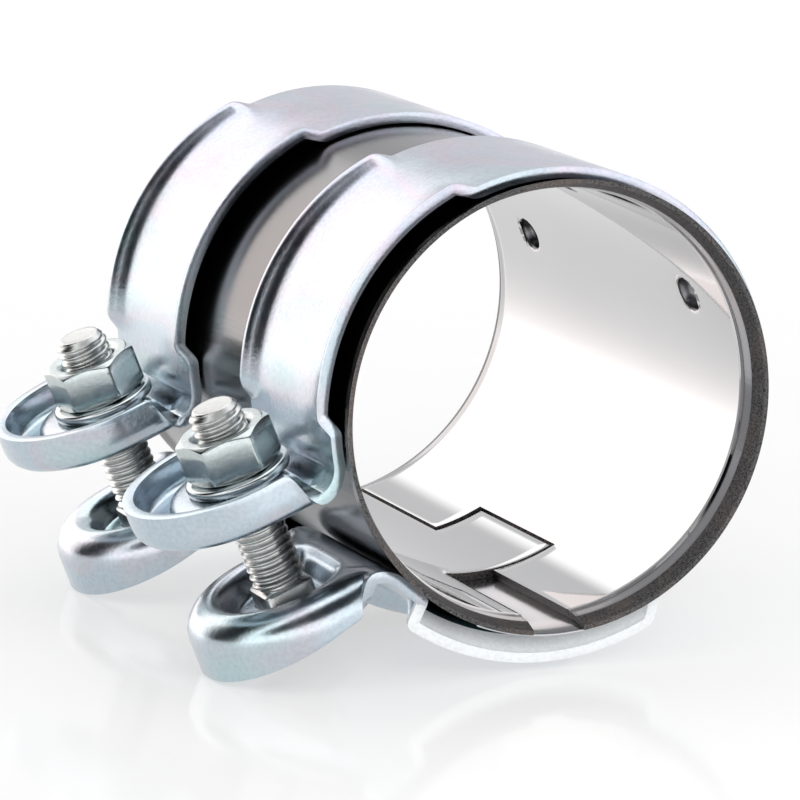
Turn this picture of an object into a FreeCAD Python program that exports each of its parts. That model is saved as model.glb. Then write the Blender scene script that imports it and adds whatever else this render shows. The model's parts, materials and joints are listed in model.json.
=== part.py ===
import FreeCAD, Part
import math
import os

import Sketcher

from FreeCAD import Placement, Rotation, Vector

# Double-band pipe repair clamp: a split steel sleeve that bridges a break in a pipe, held by two
# pressed band clamps.  Each band is one strip with a dished ear at either end, drawn together by a
# square-neck M8 bolt, a washer and a nut.
#
# Part frame: +Y along the bore, +Z up, origin on the bore axis half way along the sleeve, in the
# attitude the clamp rests in on a bench.  Bands, bolts and sleeve are drawn in a clamp frame with the
# ears toward -X and the bolts along Z, then turned about the bore axis by the rest tilt.

DIMENSIONS = [
    # alias, value (mm or degrees), meaning
    ("sleeve_length", 94.0, "overall length of the split sleeve"),
    ("sleeve_outer", 33.2, "outside radius of the sleeve"),
    ("lip_radius", 33.9, "outside radius of the flared lip at each mouth"),
    ("lip_depth", 3.0, "axial length of the flared lip"),
    ("sleeve_bore", 31.9, "inside radius, for a 63.5 mm pipe"),
    ("lead_mouth", 32.35, "inside radius of the lead-in taper where the mouth bevel meets it"),
    ("lead_radius", 32.1, "inside radius of the lead-in taper at its inner end"),
    ("lead_depth", 7.7, "axial depth at which the lead-in taper ends"),
    ("lead_step", 0.6, "axial length of the step from the lead-in taper down to the bore"),
    ("bevel_depth", 3.2, "axial depth of the bevelled mouth"),
    ("mouth_radius", 33.2, "inside radius at the end face"),
    ("plate_thick", 0.3, "thickness of the plate under the seam"),
    ("plate_length", 93.2, "axial length of the plate under the seam"),
    ("plate_start", -113.0, "angle of the plate's first edge"),
    ("plate_sweep", 56.0, "angle covered by the plate"),
    ("seat_gap", 0.03, "air between sleeve, plate and band"),
    ("rest_tilt", 21.0, "turn about the bore axis in the resting attitude"),
    ("band_station", 28.3, "distance of each band from mid length"),
    ("band_width", 31.0, "axial width of a band"),
    ("sheet", 1.7, "thickness of the band strip"),
    ("upper_flange_rise", 2.3, "rise of the upper run's turned-out edges"),
    ("lower_flange_rise", 4.2, "rise of the lower run's turned-out edges"),
    ("upper_flange_start", 18.0, "angle from the ears to the start of the upper flanges"),
    ("upper_flange_end", 91.0, "angle from the ears to the end of the upper flanges"),
    ("lower_flange_start", 32.0, "angle from the ears to the start of the lower flanges"),
    ("lower_flange_end", 99.5, "angle from the ears to the end of the lower flanges"),
    ("hinge_angle", 15.0, "angle of the line the band flexes about"),
    ("root_fillet", 4.0, "inside radius where a strip turns out into its ear"),
    ("ear_half", 15.5, "half width and tip radius of an ear"),
    ("upper_centre", 46.0, "distance of the upper ear's tip centre from the bore axis"),
    ("upper_level", 2.0, "height of the upper ear's underside above the bore axis"),
    ("upper_wall", 6.5, "height of the upper ear's wall"),
    ("upper_press", 2.3, "height of the platform pressed into the upper ear"),
    ("lower_centre", 44.0, "distance of the lower ear's tip centre from the bore axis"),
    ("lower_level", 10.8, "depth of the lower ear's top below the bore axis"),
    ("lower_wall", 9.0, "height of the lower ear's wall at the tip"),
    ("lower_wall_root", 4.8, "height of the lower ear's wall at its root"),
    ("lower_press", 3.7, "depth of the pocket pressed into the lower ear"),
    ("upper_press_radius", 10.0, "radius of the platform pressed into the upper ear"),
    ("lower_press_radius", 9.0, "radius of the pocket pressed into the lower ear"),
    ("press_edge", 1.4, "rounding at the mouth of the pressed platform or pocket"),
    ("wall_setback", 1.4, "how far an ear's wall reaches past the centre of its strip's bend"),
    ("wall_lean", 2.6, "how far the sloping end of an ear's wall leans toward the tip"),
    ("press_overlap", 1.6, "how far the pressed platform runs on past the foot of the ear's wall"),
    ("upper_fillet", 3.0, "outside radius between the upper ear's wall and its web"),
    ("lower_fillet", 4.2, "outside radius between the lower ear's wall and its web"),
    ("bolt_station", 44.0, "distance of the bolt axis from the bore axis"),
    ("bolt_dia", 8.0, "nominal thread diameter"),
    ("bolt_core", 6.65, "thread core diameter"),
    ("thread_pitch", 1.25, "thread pitch"),
    ("bolt_top", 17.9, "height of the bolt's free end above the bore axis"),
    ("neck_side", 8.0, "side of the bolt's square neck"),
    ("neck_height", 4.6, "height of the bolt's square neck"),
    ("head_dia", 17.0, "diameter of the bolt's mushroom head"),
    ("head_height", 2.4, "height of the bolt's mushroom head"),
    ("head_crown", 1.7, "height of the sloping part of the bolt's head"),
    ("head_slope", 3.6, "how far the sloping part of the bolt's head leans in"),
    ("bolt_point", 1.2, "plain length at the bolt's free end"),
    ("washer_dia", 16.0, "outside diameter of the washer"),
    ("washer_bore", 8.6, "bore of the washer"),
    ("washer_thick", 1.6, "thickness of the washer"),
    ("nut_flats", 13.0, "width across the nut's flats"),
    ("nut_height", 6.5, "height of the nut"),
    ("nut_bore", 8.1, "bore of the nut, clear of the thread crests"),
    ("slot_length", 11.6, "length of the bolt slot in the upper ear"),
    ("slot_width", 9.0, "width of the bolt slot in the upper ear"),
    ("boss_dia", 5.6, "outside diameter of a locating boss on the sleeve"),
    ("boss_reach", 34.8, "radius reached by a locating boss"),
    ("dimple_dia", 4.2, "diameter of the blind dimple inside a boss"),
    ("dimple_floor", 34.0, "radius of the dimple's floor"),
    ("hole_gap", 0.1, "air round the bolt's square neck and round a locating boss"),
    ("stack_gap", 0.02, "air between the faces of the ear, washer, nut and bolt head"),
    ("washer_edge", 0.3, "rounding of the washer's rim"),
]

doc = FreeCAD.newDocument("pipe_repair_clamp")
sheet = doc.addObject("Spreadsheet::Sheet", "Dimensions")
for row, (alias, value, meaning) in enumerate(DIMENSIONS, start=1):
    sheet.set("A%d" % row, meaning)
    sheet.set("B%d" % row, str(value))
    sheet.setAlias("B%d" % row, alias)
doc.recompute()
D = {alias: getattr(sheet, alias) for alias, value, meaning in DIMENSIONS}

BAND_INNER = D["sleeve_outer"] + D["plate_thick"] + 2 * D["seat_gap"]
BAND_OUTER = BAND_INNER + D["sheet"]
BAND_INNER_TEXT = "(Dimensions.sleeve_outer + Dimensions.plate_thick + 2 * Dimensions.seat_gap)"
HALF_WIDTH = D["band_width"] / 2
OVERCUT = 1.0


def angle_point(radius, degrees):
    """The sketch point at a radius and an angle about the sketch's origin."""
    turn = math.radians(degrees)
    return Vector(radius * math.cos(turn), radius * math.sin(turn), 0)


def origin_plane(body, role):
    for feature in body.Origin.OriginFeatures:
        if feature.Role == role:
            return feature
    raise ValueError("no origin feature " + role)


def add_sketch(body, name, role, offset=None):
    """A sketch on one of the body's own origin planes, moved from it by an optional offset."""
    sketch = body.newObject("Sketcher::SketchObject", name)
    sketch.AttachmentSupport = [(origin_plane(body, role), "")]
    sketch.MapMode = "FlatFace"
    if offset is not None:
        sketch.AttachmentOffset = offset
    return sketch


def bind(obj, prop, text):
    """Binds a property to an expression; a bare alias is read from the sheet."""
    obj.setExpression(prop, text if "Dimensions" in text else "Dimensions." + text)


def name_dimension(sketch, index, name, text):
    sketch.renameConstraint(index, name)
    bind(sketch, "Constraints." + name, text)


def add_loop(sketch, points):
    """A closed polygon with its corners joined; returns the number of its first line."""
    first = sketch.GeometryCount
    count = len(points)
    for i in range(count):
        line = Part.LineSegment(Vector(*points[i], 0), Vector(*points[(i + 1) % count], 0))
        sketch.addGeometry(line, False)
    for i in range(count):
        joint = Sketcher.Constraint("Coincident", first + i, 2, first + (i + 1) % count, 1)
        sketch.addConstraint(joint)
    return first


def add_box(sketch, x_low, y_low, x_high, y_high):
    """An axis-aligned rectangle: lines run low, right, high, left."""
    corners = [(x_low, y_low), (x_high, y_low), (x_high, y_high), (x_low, y_high)]
    first = add_loop(sketch, corners)
    for i, kind in enumerate(("Horizontal", "Vertical", "Horizontal", "Vertical")):
        sketch.addConstraint(Sketcher.Constraint(kind, first + i))
    return first


def add_circle(sketch, x, y, radius, name, text):
    """A circle held at its centre, its radius bound to an expression."""
    circle = sketch.addGeometry(Part.Circle(Vector(x, y, 0), Vector(0, 0, 1), radius), False)
    sketch.addConstraint(Sketcher.Constraint("DistanceX", circle, 3, x))
    sketch.addConstraint(Sketcher.Constraint("DistanceY", circle, 3, y))
    index = sketch.addConstraint(Sketcher.Constraint("Radius", circle, radius))
    name_dimension(sketch, index, name, text)
    return circle


def add_arc(sketch, centre, radius, start, end):
    """A counter-clockwise arc between two angles in degrees."""
    circle = Part.Circle(Vector(centre[0], centre[1], 0), Vector(0, 0, 1), radius)
    arc = Part.ArcOfCircle(circle, math.radians(start), math.radians(end))
    return sketch.addGeometry(arc, False)


def add_tongue(sketch, root, centre, radius, name, text):
    """A flat-rooted outline with a round tip toward -X, its tip radius bound to an expression."""
    arc = add_arc(sketch, (centre, 0), radius, 90, 270)
    top = sketch.addGeometry(Part.LineSegment(Vector(root, radius, 0), Vector(centre, radius, 0)), False)
    low = sketch.addGeometry(Part.LineSegment(Vector(centre, -radius, 0), Vector(root, -radius, 0)), False)
    back = sketch.addGeometry(Part.LineSegment(Vector(root, -radius, 0), Vector(root, radius, 0)), False)
    sketch.addConstraint(Sketcher.Constraint("Tangent", top, 2, arc, 1))
    sketch.addConstraint(Sketcher.Constraint("Tangent", arc, 2, low, 1))
    sketch.addConstraint(Sketcher.Constraint("Coincident", low, 2, back, 1))
    sketch.addConstraint(Sketcher.Constraint("Coincident", back, 2, top, 1))
    sketch.addConstraint(Sketcher.Constraint("Vertical", back))
    sketch.addConstraint(Sketcher.Constraint("DistanceX", arc, 3, centre))
    sketch.addConstraint(Sketcher.Constraint("DistanceY", arc, 3, 0))
    sketch.addConstraint(Sketcher.Constraint("DistanceX", back, 1, root))
    index = sketch.addConstraint(Sketcher.Constraint("Radius", arc, radius))
    name_dimension(sketch, index, name, text)


def add_extrusion(body, kind, sketch, name, length, text=None, reverse=False, both=False):
    """A Pad or Pocket whose length is bound to an expression."""
    feature = body.newObject("PartDesign::" + kind, name)
    feature.Profile = sketch
    feature.Length = length
    if text:
        bind(feature, "Length", text)
    feature.Reversed = reverse
    feature.Midplane = both
    sketch.Visibility = False
    return feature


def add_turn(body, kind, sketch, name, sweep, text=None, reverse=False):
    """A Revolution or Groove about the bore axis, which is each of these sketches' own X axis."""
    feature = body.newObject("PartDesign::" + kind, name)
    feature.Profile = sketch
    feature.ReferenceAxis = (sketch, ["H_Axis"])
    feature.Angle = sweep
    if text:
        bind(feature, "Angle", text)
    feature.Reversed = reverse
    sketch.Visibility = False
    return feature


def radial_plane(degrees):
    """Turns a YZ-plane sketch so that its Y axis points out from the bore at this angle."""
    return Placement(Vector(0, 0, 0), Rotation(Vector(1, 0, 0), 90 - degrees))


def checked(body, before, grows):
    """Stops the build when a feature did not add or remove material as it should."""
    doc.recompute()
    after = body.Shape.Volume
    if grows and after <= before or not grows and after >= before:
        raise ValueError("%s changed the wrong way: %.2f to %.2f" % (body.Name, before, after))
    return after


def edges_where(body, test):
    """Names of the body's edges whose middle point and curve pass a test."""
    names = []
    for number, edge in enumerate(body.Shape.Edges, start=1):
        middle = edge.valueAt((edge.FirstParameter + edge.LastParameter) / 2)
        if test(edge, middle):
            names.append("Edge%d" % number)
    return names


def add_fillet(body, name, radius, test, text=None):
    """Rounds the edges a test picks out."""
    base = body.Tip
    names = edges_where(body, test)
    if not names:
        raise ValueError(body.Name + "." + name + " found no edges")
    feature = body.newObject("PartDesign::Fillet", name)
    feature.Base = (base, names)
    feature.Radius = radius
    if text:
        bind(feature, "Radius", text)
    doc.recompute()
    return feature


def level_plane(height):
    return Placement(Vector(0, 0, height), Rotation())


def new_body(label):
    body = doc.addObject("PartDesign::Body", label)
    body.Label = label
    return body


def clamp_placement(station, local=None):
    """Turns a piece from the clamp frame to the part frame and moves it along the bore."""
    tilt = Placement(Vector(0, station, 0), Rotation(Vector(0, -1, 0), D["rest_tilt"]))
    return tilt if local is None else tilt.multiply(local)


def make_ear(body, side, which):
    """A dished ear; side is +1 when its dish opens upward and -1 when it opens downward."""
    centre = -D[which + "_centre"]
    level = side * D[which + "_level"]
    inside = level + side * D["sheet"]
    wall = D[which + "_wall"]
    rim = level + side * wall
    press = D[which + "_press"]
    press_radius = D[which + "_press_radius"]
    bend_height = D[which + "_level"] + D["sheet"] + D["root_fillet"]
    bend_centre = math.sqrt((BAND_OUTER + D["root_fillet"]) ** 2 - bend_height ** 2)
    root = D["wall_setback"] - bend_centre
    down = side < 0
    name = body.Name

    outline = add_sketch(body, name + "_ear_outline", "XY_Plane", level_plane(level))
    add_tongue(outline, root, centre, D["ear_half"], "tip_radius", "ear_half")
    add_extrusion(body, "Pad", outline, name + "_ear", wall, which + "_wall", reverse=down)
    volume = checked(body, 0, True)

    hollow = add_sketch(body, name + "_dish_outline", "XY_Plane", level_plane(rim))
    add_tongue(hollow, root + OVERCUT, centre, D["ear_half"] - D["sheet"], "tip_radius",
               "Dimensions.ear_half - Dimensions.sheet")
    depth = "Dimensions.%s_wall - Dimensions.sheet" % which
    add_extrusion(body, "Pocket", hollow, name + "_dish", wall - D["sheet"], depth, reverse=down)
    volume = checked(body, volume, False)

    slope = add_sketch(body, name + "_wall_end", "XZ_Plane")
    lean = root - D["wall_lean"]
    add_loop(slope, [(root + OVERCUT, inside), (root + OVERCUT, rim + side), (lean, rim + side), (lean, rim),
                     (root, inside)])
    add_extrusion(body, "Pocket", slope, name + "_wall_slope", 2 * D["band_width"],
                  "2 * Dimensions.band_width", both=True)
    volume = checked(body, volume, False)

    if down:
        taper = add_sketch(body, name + "_rim_taper", "XZ_Plane")
        tip = centre - D["ear_half"] - OVERCUT
        add_loop(taper, [(tip, rim), (tip, rim + side), (root + OVERCUT, rim + side),
                         (root + OVERCUT, level + side * D["lower_wall_root"])])
        add_extrusion(body, "Pocket", taper, name + "_rim_slope", 2 * D["band_width"],
                      "2 * Dimensions.band_width", both=True)
        volume = checked(body, volume, False)

    platform = add_sketch(body, name + "_platform_outline", "XY_Plane", level_plane(inside))
    foot = root + D["press_overlap"]
    add_tongue(platform, foot, -D["bolt_station"], press_radius + D["sheet"], "tip_radius",
               "Dimensions.%s_press_radius + Dimensions.sheet" % which)
    add_extrusion(body, "Pad", platform, name + "_platform", press, which + "_press", reverse=down)
    volume = checked(body, volume, True)

    recess = add_sketch(body, name + "_recess_outline", "XY_Plane", level_plane(level))
    add_tongue(recess, foot - 2 * D["sheet"], -D["bolt_station"], press_radius, "tip_radius",
               which + "_press_radius")
    add_extrusion(body, "Pocket", recess, name + "_recess", press, which + "_press", reverse=not down)
    volume = checked(body, volume, False)

    def on_outline(edge, middle):
        at_level = abs(middle.z - level) < 1e-4 and abs(edge.BoundBox.ZLength) < 1e-4
        from_tip = math.hypot(middle.x - centre, middle.y)
        round_part = middle.x < centre and abs(from_tip - D["ear_half"]) < 1e-3
        straight_part = middle.x >= centre and abs(abs(middle.y) - D["ear_half"]) < 1e-3
        return at_level and (round_part or straight_part)

    fillet = D[which + "_fillet"]
    add_fillet(body, name + "_ear_edge", fillet, on_outline, which + "_fillet")
    volume = checked(body, volume, False)

    def on_dish(edge, middle):
        at_floor = abs(middle.z - inside) < 1e-4 and abs(edge.BoundBox.ZLength) < 1e-4
        inner = D["ear_half"] - D["sheet"]
        from_tip = math.hypot(middle.x - centre, middle.y)
        round_part = middle.x < centre and abs(from_tip - inner) < 1e-3
        straight_part = middle.x >= centre and abs(abs(middle.y) - inner) < 1e-3
        return at_floor and (round_part or straight_part)

    add_fillet(body, name + "_dish_corner", fillet - D["sheet"], on_dish,
               "Dimensions.%s_fillet - Dimensions.sheet" % which)
    volume = checked(body, volume, True)

    def on_recess(edge, middle):
        at_level = abs(middle.z - level) < 1e-4 and abs(edge.BoundBox.ZLength) < 1e-4
        from_bolt = math.hypot(middle.x + D["bolt_station"], middle.y)
        return at_level and middle.x < -D["bolt_station"] and abs(from_bolt - press_radius) < 1e-3

    add_fillet(body, name + "_recess_edge", D["press_edge"], on_recess, "press_edge")
    volume = checked(body, volume, False)
    return volume


def make_strip(body, side, level_alias, back_angle, volume):
    """The band strip: an arc round the sleeve that turns out at its end into the ear's web."""
    level = D[level_alias]
    bend_height = level + D["sheet"] + D["root_fillet"]
    reach = BAND_OUTER + D["root_fillet"]
    bend_x = -math.sqrt(reach ** 2 - bend_height ** 2)
    bend = (bend_x, side * bend_height)
    leave = math.degrees(math.atan2(bend_height, bend_x))
    end_x = bend_x - 1.5
    name = body.Name

    sketch = add_sketch(body, name + "_strip_profile", "XZ_Plane")
    if side > 0:
        band_arcs = (back_angle, leave)
        bend_arcs = (-90, leave - 180)
    else:
        band_arcs = (360 - leave, 360 + back_angle)
        bend_arcs = (180 - leave, 90)
    outer = add_arc(sketch, (0, 0), BAND_OUTER, *band_arcs)
    inner = add_arc(sketch, (0, 0), BAND_INNER, *band_arcs)
    tight = add_arc(sketch, bend, D["root_fillet"], *bend_arcs)
    wide = add_arc(sketch, bend, D["root_fillet"] + D["sheet"], *bend_arcs)
    near = side * (level + D["sheet"])
    far = side * level
    web_in = sketch.addGeometry(Part.LineSegment(Vector(bend_x, near, 0), Vector(end_x, near, 0)), False)
    web_end = sketch.addGeometry(Part.LineSegment(Vector(end_x, near, 0), Vector(end_x, far, 0)), False)
    web_out = sketch.addGeometry(Part.LineSegment(Vector(end_x, far, 0), Vector(bend_x, far, 0)), False)
    back = sketch.addGeometry(Part.LineSegment(angle_point(BAND_INNER, back_angle),
                                               angle_point(BAND_OUTER, back_angle)), False)
    band_end, bend_start, bend_stop, band_start = (2, 2, 1, 1) if side > 0 else (1, 1, 2, 2)
    for a, a_end, b, b_end in ((outer, band_end, tight, bend_start), (inner, band_end, wide, bend_start),
                               (tight, bend_stop, web_in, 1), (wide, bend_stop, web_out, 2)):
        sketch.addConstraint(Sketcher.Constraint("Tangent", a, a_end, b, b_end))
    for a, a_end, b, b_end in ((web_in, 2, web_end, 1), (web_end, 2, web_out, 1),
                               (inner, band_start, back, 1), (back, 2, outer, band_start)):
        sketch.addConstraint(Sketcher.Constraint("Coincident", a, a_end, b, b_end))
    sketch.addConstraint(Sketcher.Constraint("Coincident", outer, 3, -1, 1))
    sketch.addConstraint(Sketcher.Constraint("Coincident", inner, 3, -1, 1))
    sketch.addConstraint(Sketcher.Constraint("Coincident", tight, 3, wide, 3))
    sketch.addConstraint(Sketcher.Constraint("Vertical", web_end))
    index = sketch.addConstraint(Sketcher.Constraint("Radius", inner, BAND_INNER))
    name_dimension(sketch, index, "band_inside", BAND_INNER_TEXT)
    index = sketch.addConstraint(Sketcher.Constraint("Radius", outer, BAND_OUTER))
    name_dimension(sketch, index, "band_outside", BAND_INNER_TEXT + " + Dimensions.sheet")
    index = sketch.addConstraint(Sketcher.Constraint("Radius", tight, D["root_fillet"]))
    name_dimension(sketch, index, "bend_radius", "root_fillet")
    index = sketch.addConstraint(Sketcher.Constraint("Distance", web_end, D["sheet"]))
    name_dimension(sketch, index, "strip_thickness", "sheet")
    add_extrusion(body, "Pad", sketch, name + "_strip", D["band_width"], "band_width", both=True)
    return checked(body, volume, True)


def make_flanges(body, side, which, volume):
    """Both edges of the strip turned outward at 45 degrees over part of the arc."""
    name = body.Name
    start = D[which + "_flange_start"]
    end = D[which + "_flange_end"]
    first = 180 - end if side > 0 else 180 + start
    sweep = end - start
    sweep_text = "Dimensions.%s_flange_end - Dimensions.%s_flange_start" % (which, which)
    lean = D["sheet"] * math.sqrt(0.5)
    crease = D["sheet"] * math.tan(math.radians(22.5))
    rise = D[which + "_flange_rise"]
    foot = HALF_WIDTH - rise

    clear = add_sketch(body, name + "_flange_relief", "YZ_Plane", radial_plane(first))
    for way in (-1, 1):
        add_loop(clear, [(way * foot, BAND_INNER), (way * (HALF_WIDTH + OVERCUT), HALF_WIDTH + OVERCUT - foot
                         + BAND_INNER), (way * (HALF_WIDTH + OVERCUT), BAND_INNER - OVERCUT),
                         (way * foot, BAND_INNER - OVERCUT)])
    add_turn(body, "Groove", clear, name + "_flange_undercut", sweep, sweep_text, reverse=True)
    volume = checked(body, volume, False)

    turned = add_sketch(body, name + "_flange_profile", "YZ_Plane", radial_plane(first))
    for way in (-1, 1):
        add_loop(turned, [(way * foot, BAND_INNER), (way * HALF_WIDTH, BAND_INNER + rise),
                          (way * (HALF_WIDTH - lean), BAND_INNER + rise + lean),
                          (way * (foot - crease), BAND_OUTER)])
    add_turn(body, "Revolution", turned, name + "_flange", sweep, sweep_text, reverse=True)
    return checked(body, volume, True)


def make_upper_arm(label, station):
    """The moving run of a band, from the back over the top to the dished upper ear."""
    body = new_body(label)
    volume = make_ear(body, 1, "upper")
    volume = make_strip(body, 1, "upper_level", D["hinge_angle"], volume)
    volume = make_flanges(body, 1, "upper", volume)
    slot = add_sketch(body, label + "_slot_outline", "XY_Plane", level_plane(D["upper_level"] - OVERCUT))
    half_run = (D["slot_length"] - D["slot_width"]) / 2
    radius = D["slot_width"] / 2
    left = -D["bolt_station"] - half_run
    right = -D["bolt_station"] + half_run
    tip = add_arc(slot, (left, 0), radius, 90, 270)
    heel = add_arc(slot, (right, 0), radius, -90, 90)
    low = slot.addGeometry(Part.LineSegment(Vector(left, -radius, 0), Vector(right, -radius, 0)), False)
    top = slot.addGeometry(Part.LineSegment(Vector(right, radius, 0), Vector(left, radius, 0)), False)
    slot.addConstraint(Sketcher.Constraint("Tangent", tip, 2, low, 1))
    slot.addConstraint(Sketcher.Constraint("Tangent", low, 2, heel, 1))
    slot.addConstraint(Sketcher.Constraint("Tangent", heel, 2, top, 1))
    slot.addConstraint(Sketcher.Constraint("Tangent", top, 2, tip, 1))
    slot.addConstraint(Sketcher.Constraint("DistanceX", tip, 3, left))
    slot.addConstraint(Sketcher.Constraint("DistanceY", tip, 3, 0))
    index = slot.addConstraint(Sketcher.Constraint("Radius", tip, radius))
    name_dimension(slot, index, "end_radius", "Dimensions.slot_width / 2")
    length = D["upper_press"] + D["sheet"] + 2 * OVERCUT
    add_extrusion(body, "Pocket", slot, label + "_slot", length, reverse=True)
    checked(body, volume, False)
    body.Placement = clamp_placement(station)
    return body


def make_lower_arm(label, station):
    """The fixed run of a band, from the back under the sleeve to the deeper lower ear."""
    body = new_body(label)
    volume = make_ear(body, -1, "lower")
    volume = make_strip(body, -1, "lower_level", D["hinge_angle"], volume)
    volume = make_flanges(body, -1, "lower", volume)
    square = add_sketch(body, label + "_square_outline", "XY_Plane", level_plane(-D["lower_level"] + OVERCUT))
    half = D["neck_side"] / 2 + D["hole_gap"]
    add_box(square, -D["bolt_station"] - half, -half, -D["bolt_station"] + half, half)
    length = D["lower_press"] + D["sheet"] + 2 * OVERCUT
    add_extrusion(body, "Pocket", square, label + "_square", length)
    volume = checked(body, volume, False)
    hole = add_sketch(body, label + "_boss_hole_outline", "YZ_Plane")
    add_circle(hole, 0, 0, D["boss_dia"] / 2 + D["hole_gap"], "hole_radius",
               "Dimensions.boss_dia / 2 + Dimensions.hole_gap")
    add_extrusion(body, "Pocket", hole, label + "_boss_hole", BAND_OUTER + OVERCUT, reverse=True)
    checked(body, volume, False)
    body.Placement = clamp_placement(station)
    return body


def make_sleeve():
    """The split sleeve: flared mouths, a stepped seam underneath and two locating bosses."""
    body = new_body("inner_sleeve")
    half = D["sleeve_length"] / 2
    wall = add_sketch(body, "sleeve_wall", "YZ_Plane", radial_plane(90))
    bevel_end = half - D["bevel_depth"]
    lead_end = half - D["lead_depth"]
    bore_end = lead_end - D["lead_step"]
    lip_start = half - D["lip_depth"]
    outline = [(-half, D["mouth_radius"]), (-half, D["lip_radius"]), (-lip_start, D["sleeve_outer"]),
               (lip_start, D["sleeve_outer"]), (half, D["lip_radius"]), (half, D["mouth_radius"]),
               (bevel_end, D["lead_mouth"]), (lead_end, D["lead_radius"]),
               (bore_end, D["sleeve_bore"]), (-bore_end, D["sleeve_bore"]), (-lead_end, D["lead_radius"]),
               (-bevel_end, D["lead_mouth"])]
    add_loop(wall, outline)
    add_turn(body, "Revolution", wall, "sleeve_tube", 360)
    volume = checked(body, 0, True)

    boss = add_sketch(body, "boss_outline", "YZ_Plane")
    foot = (D["sleeve_bore"] + D["sleeve_outer"]) / 2
    boss.AttachmentOffset = level_plane(foot)
    for number, station in enumerate((-D["band_station"], D["band_station"])):
        add_circle(boss, station, 0, D["boss_dia"] / 2, "boss_radius_%d" % number, "Dimensions.boss_dia / 2")
    add_extrusion(body, "Pad", boss, "bosses", D["boss_reach"] - foot,
                  "Dimensions.boss_reach - (Dimensions.sleeve_bore + Dimensions.sleeve_outer) / 2")
    volume = checked(body, volume, True)
    dimple = add_sketch(body, "dimple_outline", "YZ_Plane")
    for number, station in enumerate((-D["band_station"], D["band_station"])):
        add_circle(dimple, station, 0, D["dimple_dia"] / 2, "dimple_radius_%d" % number,
                   "Dimensions.dimple_dia / 2")
    add_extrusion(body, "Pocket", dimple, "dimples", D["dimple_floor"], "dimple_floor", reverse=True)
    volume = checked(body, volume, False)

    # The seam runs the whole length as one stepped slit: the two halves interlock as a middle tongue
    # between two fingers.  Each slit runs between two stations along the bore and two angles, which are
    # measured in the resting attitude.
    tilt = D["rest_tilt"]
    slits = [
        ("rear_slit", 12.0, half + OVERCUT, -80.0, -78.6),
        ("tongue_side", 10.6, 12.4, -80.0, -64.0),
        ("tongue_tip", -15.2, 12.0, -65.2, -64.0),
        ("tongue_front", -15.4, -14.6, -84.0, -64.0),
        ("front_gap", -half - OVERCUT, -14.6, -97.5, -83.5),
    ]
    for name, low, high, start, end in slits:
        sketch = add_sketch(body, name + "_outline", "YZ_Plane", radial_plane(start - tilt))
        add_box(sketch, low, D["sleeve_bore"] - OVERCUT, high, D["lip_radius"] + OVERCUT)
        add_turn(body, "Groove", sketch, name, end - start, reverse=True)
        volume = checked(body, volume, False)
    body.Placement = clamp_placement(0)
    return body


def make_plate():
    """The thin curved plate that closes the seam from outside, flared at its ends like the sleeve."""
    body = new_body("seam_plate")
    inner = D["sleeve_outer"] + D["seat_gap"]
    outer = inner + D["plate_thick"]
    half = D["plate_length"] / 2
    lip_start = D["sleeve_length"] / 2 - D["lip_depth"]
    flare = (half - lip_start) * (D["lip_radius"] - D["sleeve_outer"]) / D["lip_depth"]
    sketch = add_sketch(body, "plate_section", "YZ_Plane", radial_plane(D["plate_start"] - D["rest_tilt"]))
    add_loop(sketch, [(-half, inner + flare), (-lip_start, inner), (lip_start, inner), (half, inner + flare),
                      (half, outer + flare), (lip_start, outer), (-lip_start, outer), (-half, outer + flare)])
    add_turn(body, "Revolution", sketch, "plate", D["plate_sweep"], "plate_sweep", reverse=True)
    checked(body, 0, True)
    body.Placement = clamp_placement(0)
    return body


def make_bolt(label, station):
    """A square-neck bolt: mushroom head under the lower ear, thread up through both ears."""
    body = new_body(label)
    seat = -(D["lower_level"] + D["lower_press"] + D["sheet"])
    head_radius = D["head_dia"] / 2
    core = D["bolt_core"] / 2
    crest = D["bolt_dia"] / 2
    neck_top = seat + D["neck_height"]
    crown = seat - D["head_height"]
    face = seat - D["stack_gap"]
    profile = [(0, crown), (head_radius - D["head_slope"], crown), (head_radius, crown + D["head_crown"]),
               (head_radius, face), (core, face), (core, neck_top)]
    root_land = D["thread_pitch"] / 8
    rise = (D["thread_pitch"] - 2 * root_land) / 2
    height = neck_top
    while height + D["thread_pitch"] < D["bolt_top"] - D["bolt_point"]:
        profile.append((core, height + root_land))
        profile.append((crest, height + root_land + rise))
        profile.append((crest, height + 2 * root_land + rise))
        profile.append((core, height + D["thread_pitch"]))
        height += D["thread_pitch"]
    profile.append((core, D["bolt_top"]))
    profile.append((0, D["bolt_top"]))
    sketch = add_sketch(body, label + "_profile", "XZ_Plane")
    add_loop(sketch, profile)
    turned = body.newObject("PartDesign::Revolution", label + "_shank")
    turned.Profile = sketch
    turned.ReferenceAxis = (sketch, ["V_Axis"])
    turned.Angle = 360
    volume = checked(body, 0, True)
    neck = add_sketch(body, label + "_neck_outline", "XY_Plane", level_plane(seat - D["hole_gap"]))
    half = D["neck_side"] / 2
    add_box(neck, -half, -half, half, half)
    add_extrusion(body, "Pad", neck, label + "_neck", D["neck_height"] + D["hole_gap"],
                  "Dimensions.neck_height + Dimensions.hole_gap")
    checked(body, volume, True)
    body.Placement = clamp_placement(station, Placement(Vector(-D["bolt_station"], 0, 0), Rotation()))
    return body


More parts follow.
